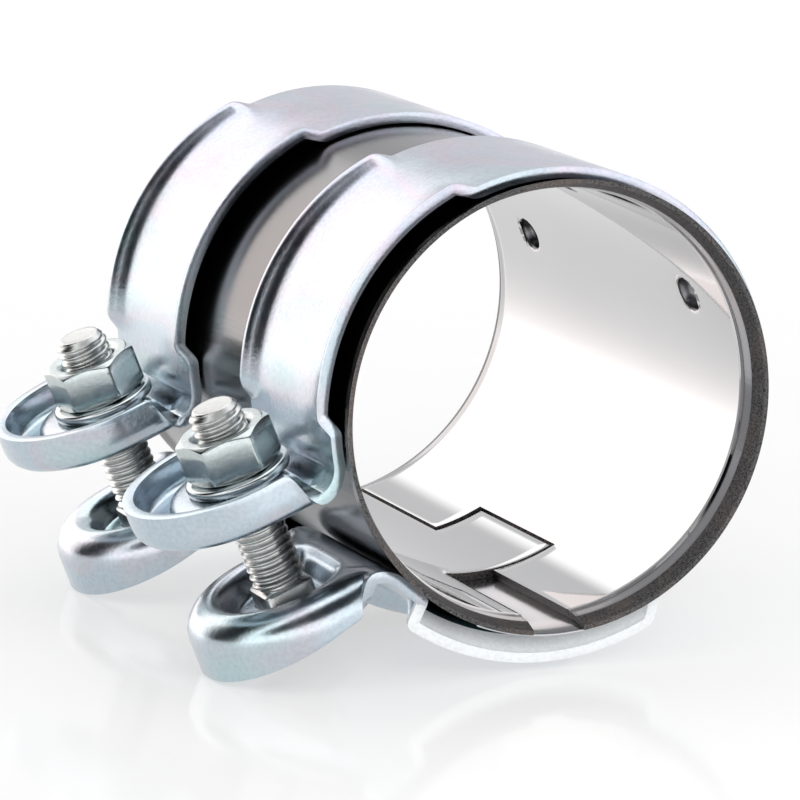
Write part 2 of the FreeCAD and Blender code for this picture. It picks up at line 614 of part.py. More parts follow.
def make_washer(label, station):
    body = new_body(label)
    sketch = add_sketch(body, label + "_ring", "XY_Plane")
    add_circle(sketch, 0, 0, D["washer_dia"] / 2, "rim", "Dimensions.washer_dia / 2")
    add_circle(sketch, 0, 0, D["washer_bore"] / 2, "bore", "Dimensions.washer_bore / 2")
    add_extrusion(body, "Pad", sketch, label + "_disc", D["washer_thick"], "washer_thick")
    volume = checked(body, 0, True)

    def on_rim(edge, middle):
        from_axis = math.hypot(middle.x, middle.y)
        return abs(from_axis - D["washer_dia"] / 2) < 1e-3 and edge.BoundBox.ZLength < 1e-4

    add_fillet(body, label + "_rim_edge", D["washer_edge"], on_rim, "washer_edge")
    checked(body, volume, False)
    height = D["upper_level"] + D["sheet"] + D["upper_press"] + D["stack_gap"]
    body.Placement = clamp_placement(station, Placement(Vector(-D["bolt_station"], 0, height), Rotation()))
    return body


def make_nut(label, station, turn):
    """A hexagon nut with both faces chamfered by a cone."""
    body = new_body(label)
    corner = D["nut_flats"] / math.sqrt(3)
    sketch = add_sketch(body, label + "_hexagon", "XY_Plane")
    points = [angle_point(corner, 60 * i + 30) for i in range(6)]
    add_loop(sketch, [(point.x, point.y) for point in points])
    add_extrusion(body, "Pad", sketch, label + "_hex", D["nut_height"], "nut_height")
    volume = checked(body, 0, True)
    bore = add_sketch(body, label + "_bore_outline", "XY_Plane")
    add_circle(bore, 0, 0, D["nut_bore"] / 2, "bore_radius", "Dimensions.nut_bore / 2")
    add_extrusion(body, "Pocket", bore, label + "_bore", D["nut_height"], "nut_height", reverse=True)
    volume = checked(body, volume, False)
    chamfer = add_sketch(body, label + "_chamfer_outline", "XZ_Plane")
    flat = D["nut_flats"] / 2
    drop = (corner + OVERCUT - flat) * math.tan(math.radians(30))
    for edge_height, way in ((0, 1), (D["nut_height"], -1)):
        beyond = edge_height - way * OVERCUT
        add_loop(chamfer, [(flat, edge_height), (corner + OVERCUT, edge_height + way * drop),
                           (corner + OVERCUT, beyond), (flat, beyond)])
    cut = body.newObject("PartDesign::Groove", label + "_chamfer")
    cut.Profile = chamfer
    cut.ReferenceAxis = (chamfer, ["V_Axis"])
    cut.Angle = 360
    checked(body, volume, False)
    height = D["upper_level"] + D["sheet"] + D["upper_press"] + D["washer_thick"] + 2 * D["stack_gap"]
    local = Placement(Vector(-D["bolt_station"], 0, height), Rotation(Vector(0, 0, 1), turn))
    body.Placement = clamp_placement(station, local)
    return body


def main():
    bodies = [make_sleeve(), make_plate()]
    for end, way, turn in (("front", -1, 12.0), ("rear", 1, 5.0)):
        station = way * D["band_station"]
        bodies.append(make_upper_arm(end + "_upper_band", station))
        bodies.append(make_lower_arm(end + "_lower_band", station))
        bodies.append(make_bolt(end + "_bolt", station))
        bodies.append(make_washer(end + "_washer", station))
        bodies.append(make_nut(end + "_nut", station, turn))
    doc.recompute()
    for obj in doc.Objects:
        if "Invalid" in obj.State or "Error" in obj.State:
            raise ValueError(obj.Name + " failed to rebuild")
    for body in bodies:
        if body.Shape.isNull() or not body.Shape.isValid() or len(body.Shape.Solids) != 1:
            raise ValueError(body.Label + " is not one valid solid")
    os.makedirs("parts", exist_ok=True)
    for body in bodies:
        body.Shape.exportStep(os.path.join("parts", body.Label + ".step"))


main()
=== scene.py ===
import json
import math

import bpy
import numpy as np
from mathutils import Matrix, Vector


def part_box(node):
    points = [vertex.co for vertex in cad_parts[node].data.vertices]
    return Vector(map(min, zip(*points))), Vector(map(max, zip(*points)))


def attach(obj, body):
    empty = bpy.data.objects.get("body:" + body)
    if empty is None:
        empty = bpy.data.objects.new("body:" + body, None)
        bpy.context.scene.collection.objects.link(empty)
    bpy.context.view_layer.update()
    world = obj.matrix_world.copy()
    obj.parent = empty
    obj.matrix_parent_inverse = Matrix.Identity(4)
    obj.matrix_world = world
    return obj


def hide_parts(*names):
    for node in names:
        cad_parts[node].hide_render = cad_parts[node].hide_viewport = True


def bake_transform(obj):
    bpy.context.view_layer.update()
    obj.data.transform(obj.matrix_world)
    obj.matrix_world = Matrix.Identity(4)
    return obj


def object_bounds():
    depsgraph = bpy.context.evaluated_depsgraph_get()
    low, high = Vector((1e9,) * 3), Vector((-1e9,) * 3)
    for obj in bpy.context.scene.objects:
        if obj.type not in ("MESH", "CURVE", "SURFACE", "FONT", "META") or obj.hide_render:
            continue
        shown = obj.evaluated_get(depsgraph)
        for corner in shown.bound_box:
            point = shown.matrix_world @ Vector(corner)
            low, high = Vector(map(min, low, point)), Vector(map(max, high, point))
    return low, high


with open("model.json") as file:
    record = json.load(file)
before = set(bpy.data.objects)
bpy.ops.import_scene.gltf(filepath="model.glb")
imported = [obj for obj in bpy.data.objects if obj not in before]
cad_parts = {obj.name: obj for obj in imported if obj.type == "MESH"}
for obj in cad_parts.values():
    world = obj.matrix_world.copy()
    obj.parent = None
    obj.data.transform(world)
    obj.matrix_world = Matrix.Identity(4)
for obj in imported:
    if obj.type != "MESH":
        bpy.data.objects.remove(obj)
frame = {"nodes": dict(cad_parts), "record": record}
CAD_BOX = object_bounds()
MM = 0.001

# ---- where things are, read from the frame
joints = {j["name"]: j for j in frame["record"]["behaviour"]["joints"]}
AXIS = Vector(joints["front_nut_turn"]["axis"])
TILT = math.atan2(-AXIS.x, AXIS.z)


def station_of(end):
    return joints[end + "_nut_turn"]["pos_m"][1] / MM


def node_span(node):
    """Lowest and highest reach of a node along the bolts, in mm."""
    mesh = frame["nodes"][node].data
    along = np.array([v.co for v in mesh.vertices], float).reshape(-1, 3) / MM @ np.array(AXIS)
    return along.min(), along.max()


def to_part(points, station=0.0):
    """Points in the clamp frame, mm, ears toward -X and bolts along Z, to the row frame in metres."""
    p = np.asarray(points, float).reshape(-1, 3)
    c, s = math.cos(TILT), math.sin(TILT)
    out = np.stack([p[:, 0] * c - p[:, 2] * s, p[:, 1] + station, p[:, 0] * s + p[:, 2] * c], 1)
    return out * MM


# ---- sizes of the pieces, mm
SHEET = 1.7          # the strip's thickness
BAND_MID = 34.41     # radius of the strip's middle line round the sleeve
BEND = 4.85          # radius of the same line where it bends out into an ear
HALF = 15.5          # half the strip's width
HOLE_R = 2.95        # the hole in the back of the strip, round the sleeve's boss
BOLT_X = -44.0       # the bolts' axis from the bore's axis
NECK = 4.6           # length of a bolt's square neck
NECK_HALF = 3.98     # half the width across the neck's flats
# the two ears.  level: height of the web's middle from the bore's axis; tip: where its round end is centred;
# wall, fall: the rim's height over the web, and what it loses per mm from the tip toward the band; corner:
# radius between wall and web; press: depth of the platform or pocket pressed into the web; ring, slope,
# bend: the radius, slope and bend radius of that press; gap, square: how far from the bolt its flat side
# runs, and how sharply; flange, rise: the angles from the ears between which the band's edges are turned
# out, and how far
UP = {"level": 2.85, "tip": 46.0, "wall": 5.65, "fall": 0.0, "corner": 2.15, "press": 2.3, "ring": 10.9,
      "slope": 74.0, "bend": 1.25, "square": 2.2, "gap": 5.6, "flange": (18.0, 91.0), "rise": 2.05}
DOWN = {"level": 11.65, "tip": 44.0, "wall": 8.15, "fall": 0.168, "corner": 3.35, "press": 3.7, "ring": 9.1,
        "slope": 60.0, "bend": 2.0, "square": 1.6, "gap": 7.0, "flange": (32.0, 99.5), "rise": 3.95}


def smooth(a, b, x):
    t = np.clip((np.asarray(x, float) - a) / (b - a), 0, 1)
    return t * t * (3 - 2 * t)


def make_object(name, verts, faces, smooth_shade=True):
    mesh = bpy.data.meshes.new(name)
    mesh.from_pydata([tuple(v) for v in verts], [], [tuple(f) for f in faces])
    mesh.validate()
    obj = bpy.data.objects.new(name, mesh)
    bpy.context.scene.collection.objects.link(obj)
    if smooth_shade:
        mesh.shade_smooth()
    return obj


def bevel_edges(obj, width, angle):
    """Rounds the edges that are sharper than an angle in degrees."""
    mod = obj.modifiers.new("edge", "BEVEL")
    mod.width = width * MM
    mod.segments = 2
    mod.limit_method = "ANGLE"
    mod.angle_limit = math.radians(angle)
    mod.use_clamp_overlap = True
    graph = bpy.context.evaluated_depsgraph_get()
    plain = obj.data
    bevelled = bpy.data.meshes.new_from_object(obj.evaluated_get(graph))
    obj.modifiers.clear()
    obj.data = bevelled
    bpy.data.meshes.remove(plain)
    bevelled.name = obj.name


def vertex_normals(points, faces):
    normals = np.zeros_like(points)
    for f in faces:
        p = points[list(f)]
        n = np.zeros(3)
        for i in range(len(f)):
            n += np.cross(p[i] - p[0], p[(i + 1) % len(f)] - p[0])
        for v in f:
            normals[v] += n
    return normals / np.maximum(np.linalg.norm(normals, axis=1, keepdims=True), 1e-12)


def boundary_edges(faces):
    seen = {}
    for f in faces:
        for i in range(len(f)):
            a, b = f[i], f[(i + 1) % len(f)]
            if (b, a) in seen:
                del seen[(b, a)]
            else:
                seen[(a, b)] = True
    return list(seen)


def thicken(outer, inner, faces):
    """A closed solid between two surfaces that share their faces."""
    n = len(outer)
    solid = [tuple(f) for f in faces] + [tuple(v + n for v in reversed(f)) for f in faces]
    solid += [(b, a, a + n, b + n) for a, b in boundary_edges(faces)]
    return np.vstack([outer, inner]), solid


# ---- the band strip
class Strip:
    """The middle line of a band strip in the clamp frame, from the upper ear round to the lower ear.

    Distance 0 is where the upper ear's web starts to bend down into the band."""

    def __init__(self):
        reach = BAND_MID + BEND
        self.up_bend = (-math.sqrt(reach ** 2 - (UP["level"] + BEND) ** 2), UP["level"] + BEND)
        self.low_bend = (-math.sqrt(reach ** 2 - (DOWN["level"] + BEND) ** 2), -(DOWN["level"] + BEND))
        self.leave_up = math.atan2(self.up_bend[1], self.up_bend[0])
        self.leave_low = math.atan2(self.low_bend[1], self.low_bend[0])
        self.s1 = BEND * (self.leave_up - math.pi / 2)
        self.s2 = self.s1 + BAND_MID * (self.leave_up - self.leave_low)
        self.s3 = self.s2 + BEND * (-math.pi / 2 - self.leave_low)

    def at(self, s, rise):
        """Points at distances s, lifted off the middle line by rise, on the side away from the bore."""
        up_angle = s / BEND - math.pi / 2
        band_angle = self.leave_up - (s - self.s1) / BAND_MID
        low_angle = self.leave_low + math.pi + (s - self.s2) / BEND
        up_x, up_z = self.up_bend
        low_x, low_z = self.low_bend
        runs = [s < 0, s < self.s1, s < self.s2, s < self.s3]
        x = np.select(runs, [up_x + s, up_x + (BEND - rise) * np.cos(up_angle),
                             (BAND_MID + rise) * np.cos(band_angle),
                             low_x + (BEND - rise) * np.cos(low_angle)], low_x - (s - self.s3))
        z = np.select(runs, [UP["level"] + rise, up_z + (BEND - rise) * np.sin(up_angle),
                             (BAND_MID + rise) * np.sin(band_angle),
                             low_z + (BEND - rise) * np.sin(low_angle)], -DOWN["level"] - rise)
        return x, z

    def of_angle(self, degrees):
        """Distance along the strip at an angle from the ears: positive over the top, negative below."""
        t = math.pi - math.radians(degrees) if degrees > 0 else -math.pi - math.radians(degrees)
        return self.s1 + (self.leave_up - t) * BAND_MID


STRIP = Strip()


def wall_profile(count, wall, radius, bend=5):
    """Offset from the strip's edge and rise of an ear's wall, from its free edge in to the dish floor."""
    side = SHEET / 2
    points = [(side, r) for r in np.linspace(wall, radius, count - bend)]
    for k in range(1, bend + 1):
        a = math.pi / 2 * k / bend
        points.append((side + radius * (1 - math.cos(a)), radius * (1 - math.sin(a))))
    return np.array(points)


FLANGE_SOFT = 2.3    # how softly a flange grows out of the strip
FLANGE_IN, FLANGE_DOWN = 0.65, 0.1   # how far its flank is set in from the edge, and let down
FLANGE_FOOT = 9.4    # distance in from the edge where a flange has died out
END_RUN = 3.6        # run over which a flange's end at the back of the strip fades away
UPPER_END_RUN = 3.2  # the same for its end beside the upper ear, and beside the lower ear
LOWER_END_RUN = 1.1
WALL_START, WALL_FULL = -1.0, 3.4   # an ear's wall grows between these distances past its bend
SIDE_LOOPS = 10      # mesh loops that follow the strip's edge and make the ears' walls
SLOT_OUT, SLOT_IN, SLOT_SIDE = 5.2, 4.6, 4.5   # the upper ear's slot: its reach out, in and sideways
SOCKET_HALF = 4.1    # half the width of the lower ear's square hole
BACK_BLOCK = 5.2     # half the size of the block of cells that makes way for the hole in the back

# offsets in from the edge of the loops along a plain edge and along a turned-out one
PLAIN_EDGE = np.concatenate([np.linspace(0.0, 3.6, SIDE_LOOPS), [4.5, 5.5, 6.6]])
FLANGE_EDGE = np.concatenate([np.linspace(0.6, 4.4, SIDE_LOOPS), [5.4, 6.8, 8.4]])
UPPER_FLANGE = [STRIP.of_angle(a) for a in UP["flange"]]
LOWER_FLANGE = [STRIP.of_angle(-a) for a in reversed(DOWN["flange"])]
BOSS_S = STRIP.s1 + STRIP.leave_up * BAND_MID


def flange_rise(offset, tip):
    """Rise of a turned-out edge at a distance in from the tip."""
    x = tip + FLANGE_IN - offset
    return np.minimum((x + np.sqrt(x * x + FLANGE_SOFT ** 2)) / 2 - FLANGE_DOWN, tip)


def flange_weight(s):
    """How far the strip's edge is turned out, 0 to 1."""
    (up0, up1), (lo0, lo1) = UPPER_FLANGE, LOWER_FLANGE
    up = smooth(up0 - 0.1, up0 + UPPER_END_RUN, s) * (1 - smooth(up1 - END_RUN, up1, s))
    low = smooth(lo0, lo0 + END_RUN, s) * (1 - smooth(lo1 - LOWER_END_RUN, lo1 + 0.1, s))
    return max(float(up), float(low))


def past_bend(s, upper):
    """Distance along an ear from the end of its bend."""
    return -s if upper else s - STRIP.s3


def ear_weight(s, upper):
    """How far the strip's edge has become an ear's wall, 0 to 1."""
    return float(smooth(WALL_START, WALL_FULL, past_bend(s, upper)))


def rim_rise(s, upper):
    """Height of an ear's rim over its web, falling from the tip toward the band."""
    ear = UP if upper else DOWN
    bend = STRIP.up_bend[0] if upper else STRIP.low_bend[0]
    return ear["wall"] - ear["fall"] * (ear["tip"] + HALF - (past_bend(s, upper) - bend))


def edge_points(s, upper):
    """Offsets in from the edge and rises of the outer loops at a distance along the strip."""
    ear = UP if upper else DOWN
    wall = wall_profile(SIDE_LOOPS, rim_rise(s, upper), ear["corner"])
    turned = np.maximum(flange_rise(FLANGE_EDGE, ear["rise"]) - flange_rise(FLANGE_FOOT, ear["rise"]), 0)
    share, flange = ear_weight(s, upper), flange_weight(s)
    offs = PLAIN_EDGE * (1 - flange) + FLANGE_EDGE * flange
    rise = turned * flange
    offs[:SIDE_LOOPS] = offs[:SIDE_LOOPS] * (1 - share) + wall[:, 0] * share
    rise[:SIDE_LOOPS] = rise[:SIDE_LOOPS] * (1 - share) + wall[:, 1] * share
    return offs, rise


class Sheet:
    """A strip's middle sheet: points by distance along, place across and rise, and the faces between them."""

    def __init__(self):
        self.points, self.faces = [], []

    def put(self, s, y, h):
        self.points.append((float(s), float(y), float(h)))
        return len(self.points) - 1

    def cross_row(self, s, upper):
        """A row of points from edge to edge."""
        offs, rise = edge_points(s, upper)
        n = len(offs)
        left = [self.put(s, HALF - offs[k], rise[k]) for k in range(n)]
        mid = [self.put(s, y, 0) for y in np.linspace(HALF - offs[-1], -(HALF - offs[-1]), 16)[1:-1]]
        right = [self.put(s, -(HALF - offs[k]), rise[k]) for k in reversed(range(n))]
        return left + mid + right

    def join(self, ring, new, flip=False):
        """Faces between two closed rings of as many points."""
        for k in range(len(ring)):
            m = (k + 1) % len(ring)
            quad = (ring[k], ring[m], new[m], new[k])
            self.faces.append(quad[::-1] if flip else quad)


def band_rows():
    """Places of the rows between the two ears, close together where the edge changes."""
    first, last = 5.0, STRIP.s3 - 3.0   # the ears take over beyond these
    (up0, up1), (lo0, lo1) = UPPER_FLANGE, LOWER_FLANGE
    # each mark is a place and the spacing of the rows before it
    marks = [(first, 0.8), (STRIP.s1, 0.6), (up0 - 0.2, 0.6), (up0 + 3.4, 0.3), (up1 - 3.8, 1.5),
             (up1 + 0.2, 0.4), (lo0 - 0.2, 1.5), (lo0 + 3.8, 0.4), (lo1 - 1.2, 1.5), (lo1 + 0.2, 0.2),
             (STRIP.s2, 0.6), (last, 0.6)]
    marks = sorted(m for m in marks if first <= m[0] <= last)
    rows = [first]
    for (a, _), (b, step) in zip(marks[:-1], marks[1:]):
        steps = max(1, int(round((b - a) / step)))
        rows += list(a + (b - a) * np.arange(1, steps + 1) / steps)
    return rows


def band_grid(sheet):
    """The band between the ears, with rings that close in on the hole in its back."""
    rows = band_rows()
    grid = [sheet.cross_row(s, s < BOSS_S) for s in rows]
    block_i = [i for i, s in enumerate(rows) if abs(s - BOSS_S) < BACK_BLOCK]
    i0, i1 = block_i[0], block_i[-1]
    block_j = [j for j, v in enumerate(grid[i0]) if abs(sheet.points[v][1]) < BACK_BLOCK + 0.1]
    j0, j1 = block_j[0], block_j[-1]
    for i in range(len(grid) - 1):
        for j in range(len(grid[0]) - 1):
            if not (i0 <= i < i1 and j0 <= j < j1):
                sheet.faces.append((grid[i][j], grid[i][j + 1], grid[i + 1][j + 1], grid[i + 1][j]))
    block = [grid[i0][j] for j in range(j0, j1)] + [grid[i][j1] for i in range(i0, i1)] \
        + [grid[i1][j] for j in range(j1, j0, -1)] + [grid[i][j0] for i in range(i1, i0, -1)]
    ring = block
    for share in (0.35, 0.7, 0.9, 1.0):
        new = []
        for v in block:
            s, y, _ = sheet.points[v]
            d = math.hypot(s - BOSS_S, y)
            r = d + (HOLE_R - d) * share
            new.append(sheet.put(BOSS_S + (s - BOSS_S) * r / d, y * r / d, 0))
        sheet.join(ring, new)
        ring = new
    return grid


def rim_loops(sheet, upper, root_row, tip_s):
    """An ear's wall, by loops that run as a U from one side of the root row round the tip to the other.

    The innermost loop is given back."""
    sign = -1 if upper else 1
    straight = np.linspace(sheet.points[root_row[0]][0], tip_s, 26)[1:]
    arc = np.linspace(0, math.pi, 49)[1:]
    profiles = {s: edge_points(s, upper) for s in straight}
    round_end = [edge_points(tip_s + sign * HALF * math.sin(a), upper) for a in arc]
    loops = []
    for k in range(SIDE_LOOPS):
        def on_side(s, side):
            offs, rise = profiles[s]
            return sheet.put(s, side * (HALF - offs[k]), rise[k])

        line = [root_row[k]] + [on_side(s, 1) for s in straight]
        for a, (offs, rise) in zip(arc, round_end):
            r = HALF - offs[k]
            line.append(sheet.put(tip_s + sign * r * math.sin(a), r * math.cos(a), rise[k]))
        line += [on_side(s, -1) for s in straight[-2::-1]]
        loops.append(line + [root_row[-1 - k]])
    for outer, inner in zip(loops[:-1], loops[1:]):
        for i in range(len(outer) - 1):
            quad = (outer[i], outer[i + 1], inner[i + 1], inner[i])
            sheet.faces.append(quad if upper else quad[::-1])
    return loops[-1]


def press_section(ear):
    """The wall of an ear's press in section, as run and height: a bend, a straight slope and a bend back."""
    slope, bend = math.radians(ear["slope"]), ear["bend"]
    run = (ear["press"] - 2 * bend * (1 - math.cos(slope))) / math.sin(slope)
    curve = [(bend * math.sin(a), bend * (1 - math.cos(a))) for a in np.linspace(0, slope, 5)]
    x, h = curve[-1]
    curve.append((x + run / 2 * math.cos(slope), h + run / 2 * math.sin(slope)))
    length = 2 * bend * math.sin(slope) + run * math.cos(slope)
    curve += [(length - bend * math.sin(a), ear["press"] - bend * (1 - math.cos(a)))
              for a in np.linspace(slope, 0, 5)]
    return curve


def press_reach(ear, radius, gap, toward_band):
    """Distance from the bolt to an outline that is round with a flat side toward the band."""
    if toward_band <= 0.02:
        return radius
    sharp = ear["square"]
    return -math.log(math.exp(-radius * sharp) + math.exp(-gap / toward_band * sharp)) / sharp


def hole_reach(upper, angle):
    """Distance from the bolt to the edge of its hole: a short slot above, a rounded square below."""
    c, s = math.cos(angle), math.sin(angle)
    if upper:
        return 1 / math.sqrt((c / (SLOT_OUT if c < 0 else SLOT_IN)) ** 2 + (s / SLOT_SIDE) ** 2)
    return 1 / ((abs(c) / SOCKET_HALF) ** 8 + (abs(s) / SOCKET_HALF) ** 8) ** 0.125


def ear_patch(sheet, upper, root_row):
    """An ear beyond a row of the band: walls round its rim, a press in its web and the bolt's hole."""
    ear = UP if upper else DOWN
    sign = -1 if upper else 1
    origin = 0 if upper else STRIP.s3
    bend_x = STRIP.up_bend[0] if upper else STRIP.low_bend[0]
    bolt_s = origin + sign * (-BOLT_X + bend_x)
    innermost = rim_loops(sheet, upper, root_row, origin + sign * (ear["tip"] + bend_x))
    outer = innermost + list(reversed(root_row[SIDE_LOOPS:len(root_row) - SIDE_LOOPS]))
    places = []
    for v in outer:
        s, y, _ = sheet.points[v]
        places.append((math.atan2(y, s - bolt_s), math.hypot(s - bolt_s, y)))

    def ring(previous, reaches, h):
        new = [sheet.put(bolt_s + r * math.cos(angle), r * math.sin(angle), h) for angle, r in reaches]
        sheet.join(previous, new, not upper)
        return new

    section = press_section(ear)
    half_run = section[-1][0] / 2
    previous = outer
    for d, h in section:
        radius, gap = ear["ring"] + half_run - d, ear["gap"] + (half_run - d) * 0.8
        reaches = [(angle, min(press_reach(ear, radius, gap, -sign * math.cos(angle)), away - 0.02))
                   for angle, away in places]
        previous = ring(previous, reaches, h)
    for share in (0.25, 0.5, 0.75, 0.92, 1.0):
        inward = [(angle, r + (hole_reach(upper, angle) - r) * share) for angle, r in reaches]
        previous = ring(previous, inward, h)


def band_mesh(name, station):
    """One strip from ear to ear, as its middle sheet with thickness given to it."""
    sheet = Sheet()
    grid = band_grid(sheet)
    ear_patch(sheet, True, grid[0])
    ear_patch(sheet, False, grid[-1])
    points, faces = np.array(sheet.points), sheet.faces
    x, z = STRIP.at(points[:, 0], points[:, 2])
    middle = np.stack([x, points[:, 1], z], 1)
    normals = vertex_normals(middle, faces)
    # normals point away from the bore
    probe = grid[len(grid) // 2][len(grid[0]) // 2]
    if normals[probe] @ (middle[probe] * np.array([1, 0, 1])) < 0:
        faces = [f[::-1] for f in faces]
        normals = -normals
    verts, solid = thicken(middle + normals * SHEET / 2, middle - normals * SHEET / 2, faces)
    obj = make_object(name, to_part(verts, station), solid)
    bevel_edges(obj, 0.22, 55)
    return obj


# ---- sleeve and plate
SLEEVE_HALF = 47.0   # half its length
BORE_R = 31.9
SLEEVE_R = 33.2      # outside radius between the mouths
LIP_R = 33.9         # outside radius of the flared mouths, which the lip's depth brings down to the sleeve's
LIP_DEPTH = 3.0
BEVEL_DEPTH = 2.4    # each mouth is bevelled this far in, and has its lead-in land this far in
LEAD_DEPTH = 4.6
STEP = 0.4           # run of the small step from the land to the bore
MOUTH_R, BEVEL_R, LAND_R = 33.2, 32.35, 32.1
PLAIN_DEPTH = 9.5    # the mesh rows are close together from the mouth to here
# the stepped seam underneath: each slit's reach along the bore in mm and round it in degrees
SEAM = [
    (12.4, SLEEVE_HALF + 1, -80.0, -78.6),
    (10.6, 12.4, -80.0, -64.0),
    (-15.4, 12.4, -65.2, -64.0),
    (-15.4, -14.6, -83.5, -64.0),
    (-SLEEVE_HALF - 1, -14.6, -97.5, -83.5),
]
# each locating boss, ring by ring toward its centre: radius of the stub outside and of the dimple inside, the
# dimple's depth and the stub's height
BOSS = [(3.6, 3.6, 0.0, 0.0), (3.3, 3.2, 0.03, 0.0), (3.0, 2.95, 0.12, 0.0), (2.8, 2.75, 0.28, 0.2),
        (2.8, 2.6, 0.52, 0.45), (2.8, 2.5, 0.85, 0.75), (2.8, 2.4, 1.3, 1.1), (2.7, 2.25, 1.75, 1.4),
        (2.4, 1.95, 1.95, 1.5), (1.6, 1.3, 2.05, 1.54), (0.8, 0.6, 2.08, 1.56)]
BOSS_PATCH_R = 3.65  # the round patch that the boss is drawn in, and the half size of the block it replaces
BOSS_BLOCK = 4.6
BOSS_BLOCK_DEGREES = 8.1
BOSS_R = 33.0        # radius at which degrees round the sleeve are turned into mm round a boss


def inner_radius(y):
    """Inside radius of the sleeve at a distance along it: bevelled mouth, lead-in land, bore."""
    d = SLEEVE_HALF - abs(y)
    return float(np.interp(d, [0, BEVEL_DEPTH, LEAD_DEPTH, LEAD_DEPTH + STEP],
                           [MOUTH_R, BEVEL_R, LAND_R, BORE_R]))


def outer_radius(y):
    """Outside radius of the sleeve at a distance along it: plain, with a flared lip at each mouth."""
    return float(np.interp(SLEEVE_HALF - abs(y), [0, LIP_DEPTH], [LIP_R, SLEEVE_R]))


class Skins:
    """The two skins of a round sheet: every outer point has a partner inside, and both share the faces."""

    def __init__(self):
        self.outer, self.inner, self.faces = [], [], []

    def put(self, angle, y, outside=None, inside=None, angle_in=None, y_in=None):
        """A point at an angle round the sleeve and a distance along it; its partner may stand elsewhere."""
        outside = outer_radius(y) if outside is None else outside
        inside = inner_radius(y) if inside is None else inside
        a = math.radians(angle)
        b = a if angle_in is None else math.radians(angle_in)
        self.outer.append((outside * math.cos(a), y, outside * math.sin(a)))
        self.inner.append((inside * math.cos(b), y if y_in is None else y_in, inside * math.sin(b)))
        return len(self.outer) - 1

    def make(self, name, bevel):
        verts, solid = thicken(np.array(self.outer), np.array(self.inner), self.faces)
        obj = make_object(name, to_part(verts), solid)
        bevel_edges(obj, bevel, 40)
        return obj


def from_side(angle):
    """An angle brought into -180 to 180 degrees; the bosses stand at 0."""
    return (angle + 180) % 360 - 180


def sleeve_columns():
    """Angles of the mesh lines along the sleeve, with one on every edge of the seam."""
    turn = [a - math.degrees(TILT) for a in sorted({a for slit in SEAM for a in slit[2:]})]
    columns = []
    for a, b in zip(turn, turn[1:] + [turn[0] + 360]):
        n = max(1, int(round((b - a) / 2.0)))
        columns += list(a + (b - a) * np.arange(n) / n)
    return columns


def sleeve_rows():
    """Places of the mesh lines round the sleeve, close together at the mouths."""
    depths = [0, 0.8, 1.6, BEVEL_DEPTH, LIP_DEPTH, 3.8, LEAD_DEPTH, LEAD_DEPTH + STEP, 5.8, 7.6]
    plain = SLEEVE_HALF - PLAIN_DEPTH
    marks = [-plain] + sorted({y for slit in SEAM for y in slit[:2] if abs(y) < SLEEVE_HALF}) + [plain]
    rows = [d - SLEEVE_HALF for d in depths] + [-plain]
    for a, b in zip(marks[:-1], marks[1:]):
        n = max(1, int(round((b - a) / 2.2)))
        rows += list(a + (b - a) * np.arange(1, n + 1) / n)
    return rows + [SLEEVE_HALF - d for d in reversed(depths)]


def in_seam(y, angle):
    angle = from_side(angle + math.degrees(TILT))
    return any(low < y < high and start < angle < end for low, high, start, end in SEAM)


def boss_block(rows, columns, station):
    """The cells that a boss takes the place of, and the crossings round their outline."""
    near = [i for i, y in enumerate(rows) if abs(y - station) < BOSS_BLOCK]
    across = sorted([j for j, a in enumerate(columns) if abs(from_side(a)) < BOSS_BLOCK_DEGREES],
                    key=lambda j: (columns[j] + 180) % 360)
    i0, i1 = near[0], near[-1]
    cells = {(i, j) for i in range(i0, i1) for j in across[:-1]}
    outline = [(i0, j) for j in across[:-1]] + [(i, across[-1]) for i in range(i0, i1)] \
        + [(i1, j) for j in across[:0:-1]] + [(i, across[0]) for i in range(i1, i0, -1)]
    return cells, outline


def draw_boss(skins, station, previous, places):
    """Rings from the block's outline in to a locating boss: a blind dimple inside, a stub outside."""
    for share, (r_out, r_in, depth, lift) in [(0.45, BOSS[0]), (0.9, BOSS[0])] + [(0, row) for row in BOSS]:
        new = []
        for angle, y in places:
            x = math.radians(from_side(angle)) * BOSS_R
            d = math.hypot(x, y - station)
            if share:
                r_out = r_in = d + (BOSS_PATCH_R - d) * share
            c, s = x / d, (y - station) / d
            y_out, y_in = station + s * r_out, station + s * r_in
            new.append(skins.put(math.degrees(c * r_out / BOSS_R), y_out, outer_radius(y_out) + lift,
                                 inner_radius(y_in) + depth, math.degrees(c * r_in / BOSS_R), y_in))
        for k in range(len(new)):
            m = (k + 1) % len(new)
            skins.faces.append((previous[k], previous[m], new[m], new[k]))
        previous = new
    centre = skins.put(0, station, outer_radius(station) + 1.57, inner_radius(station) + 2.1)
    for k in range(len(previous)):
        skins.faces.append((previous[k], previous[(k + 1) % len(previous)], centre))


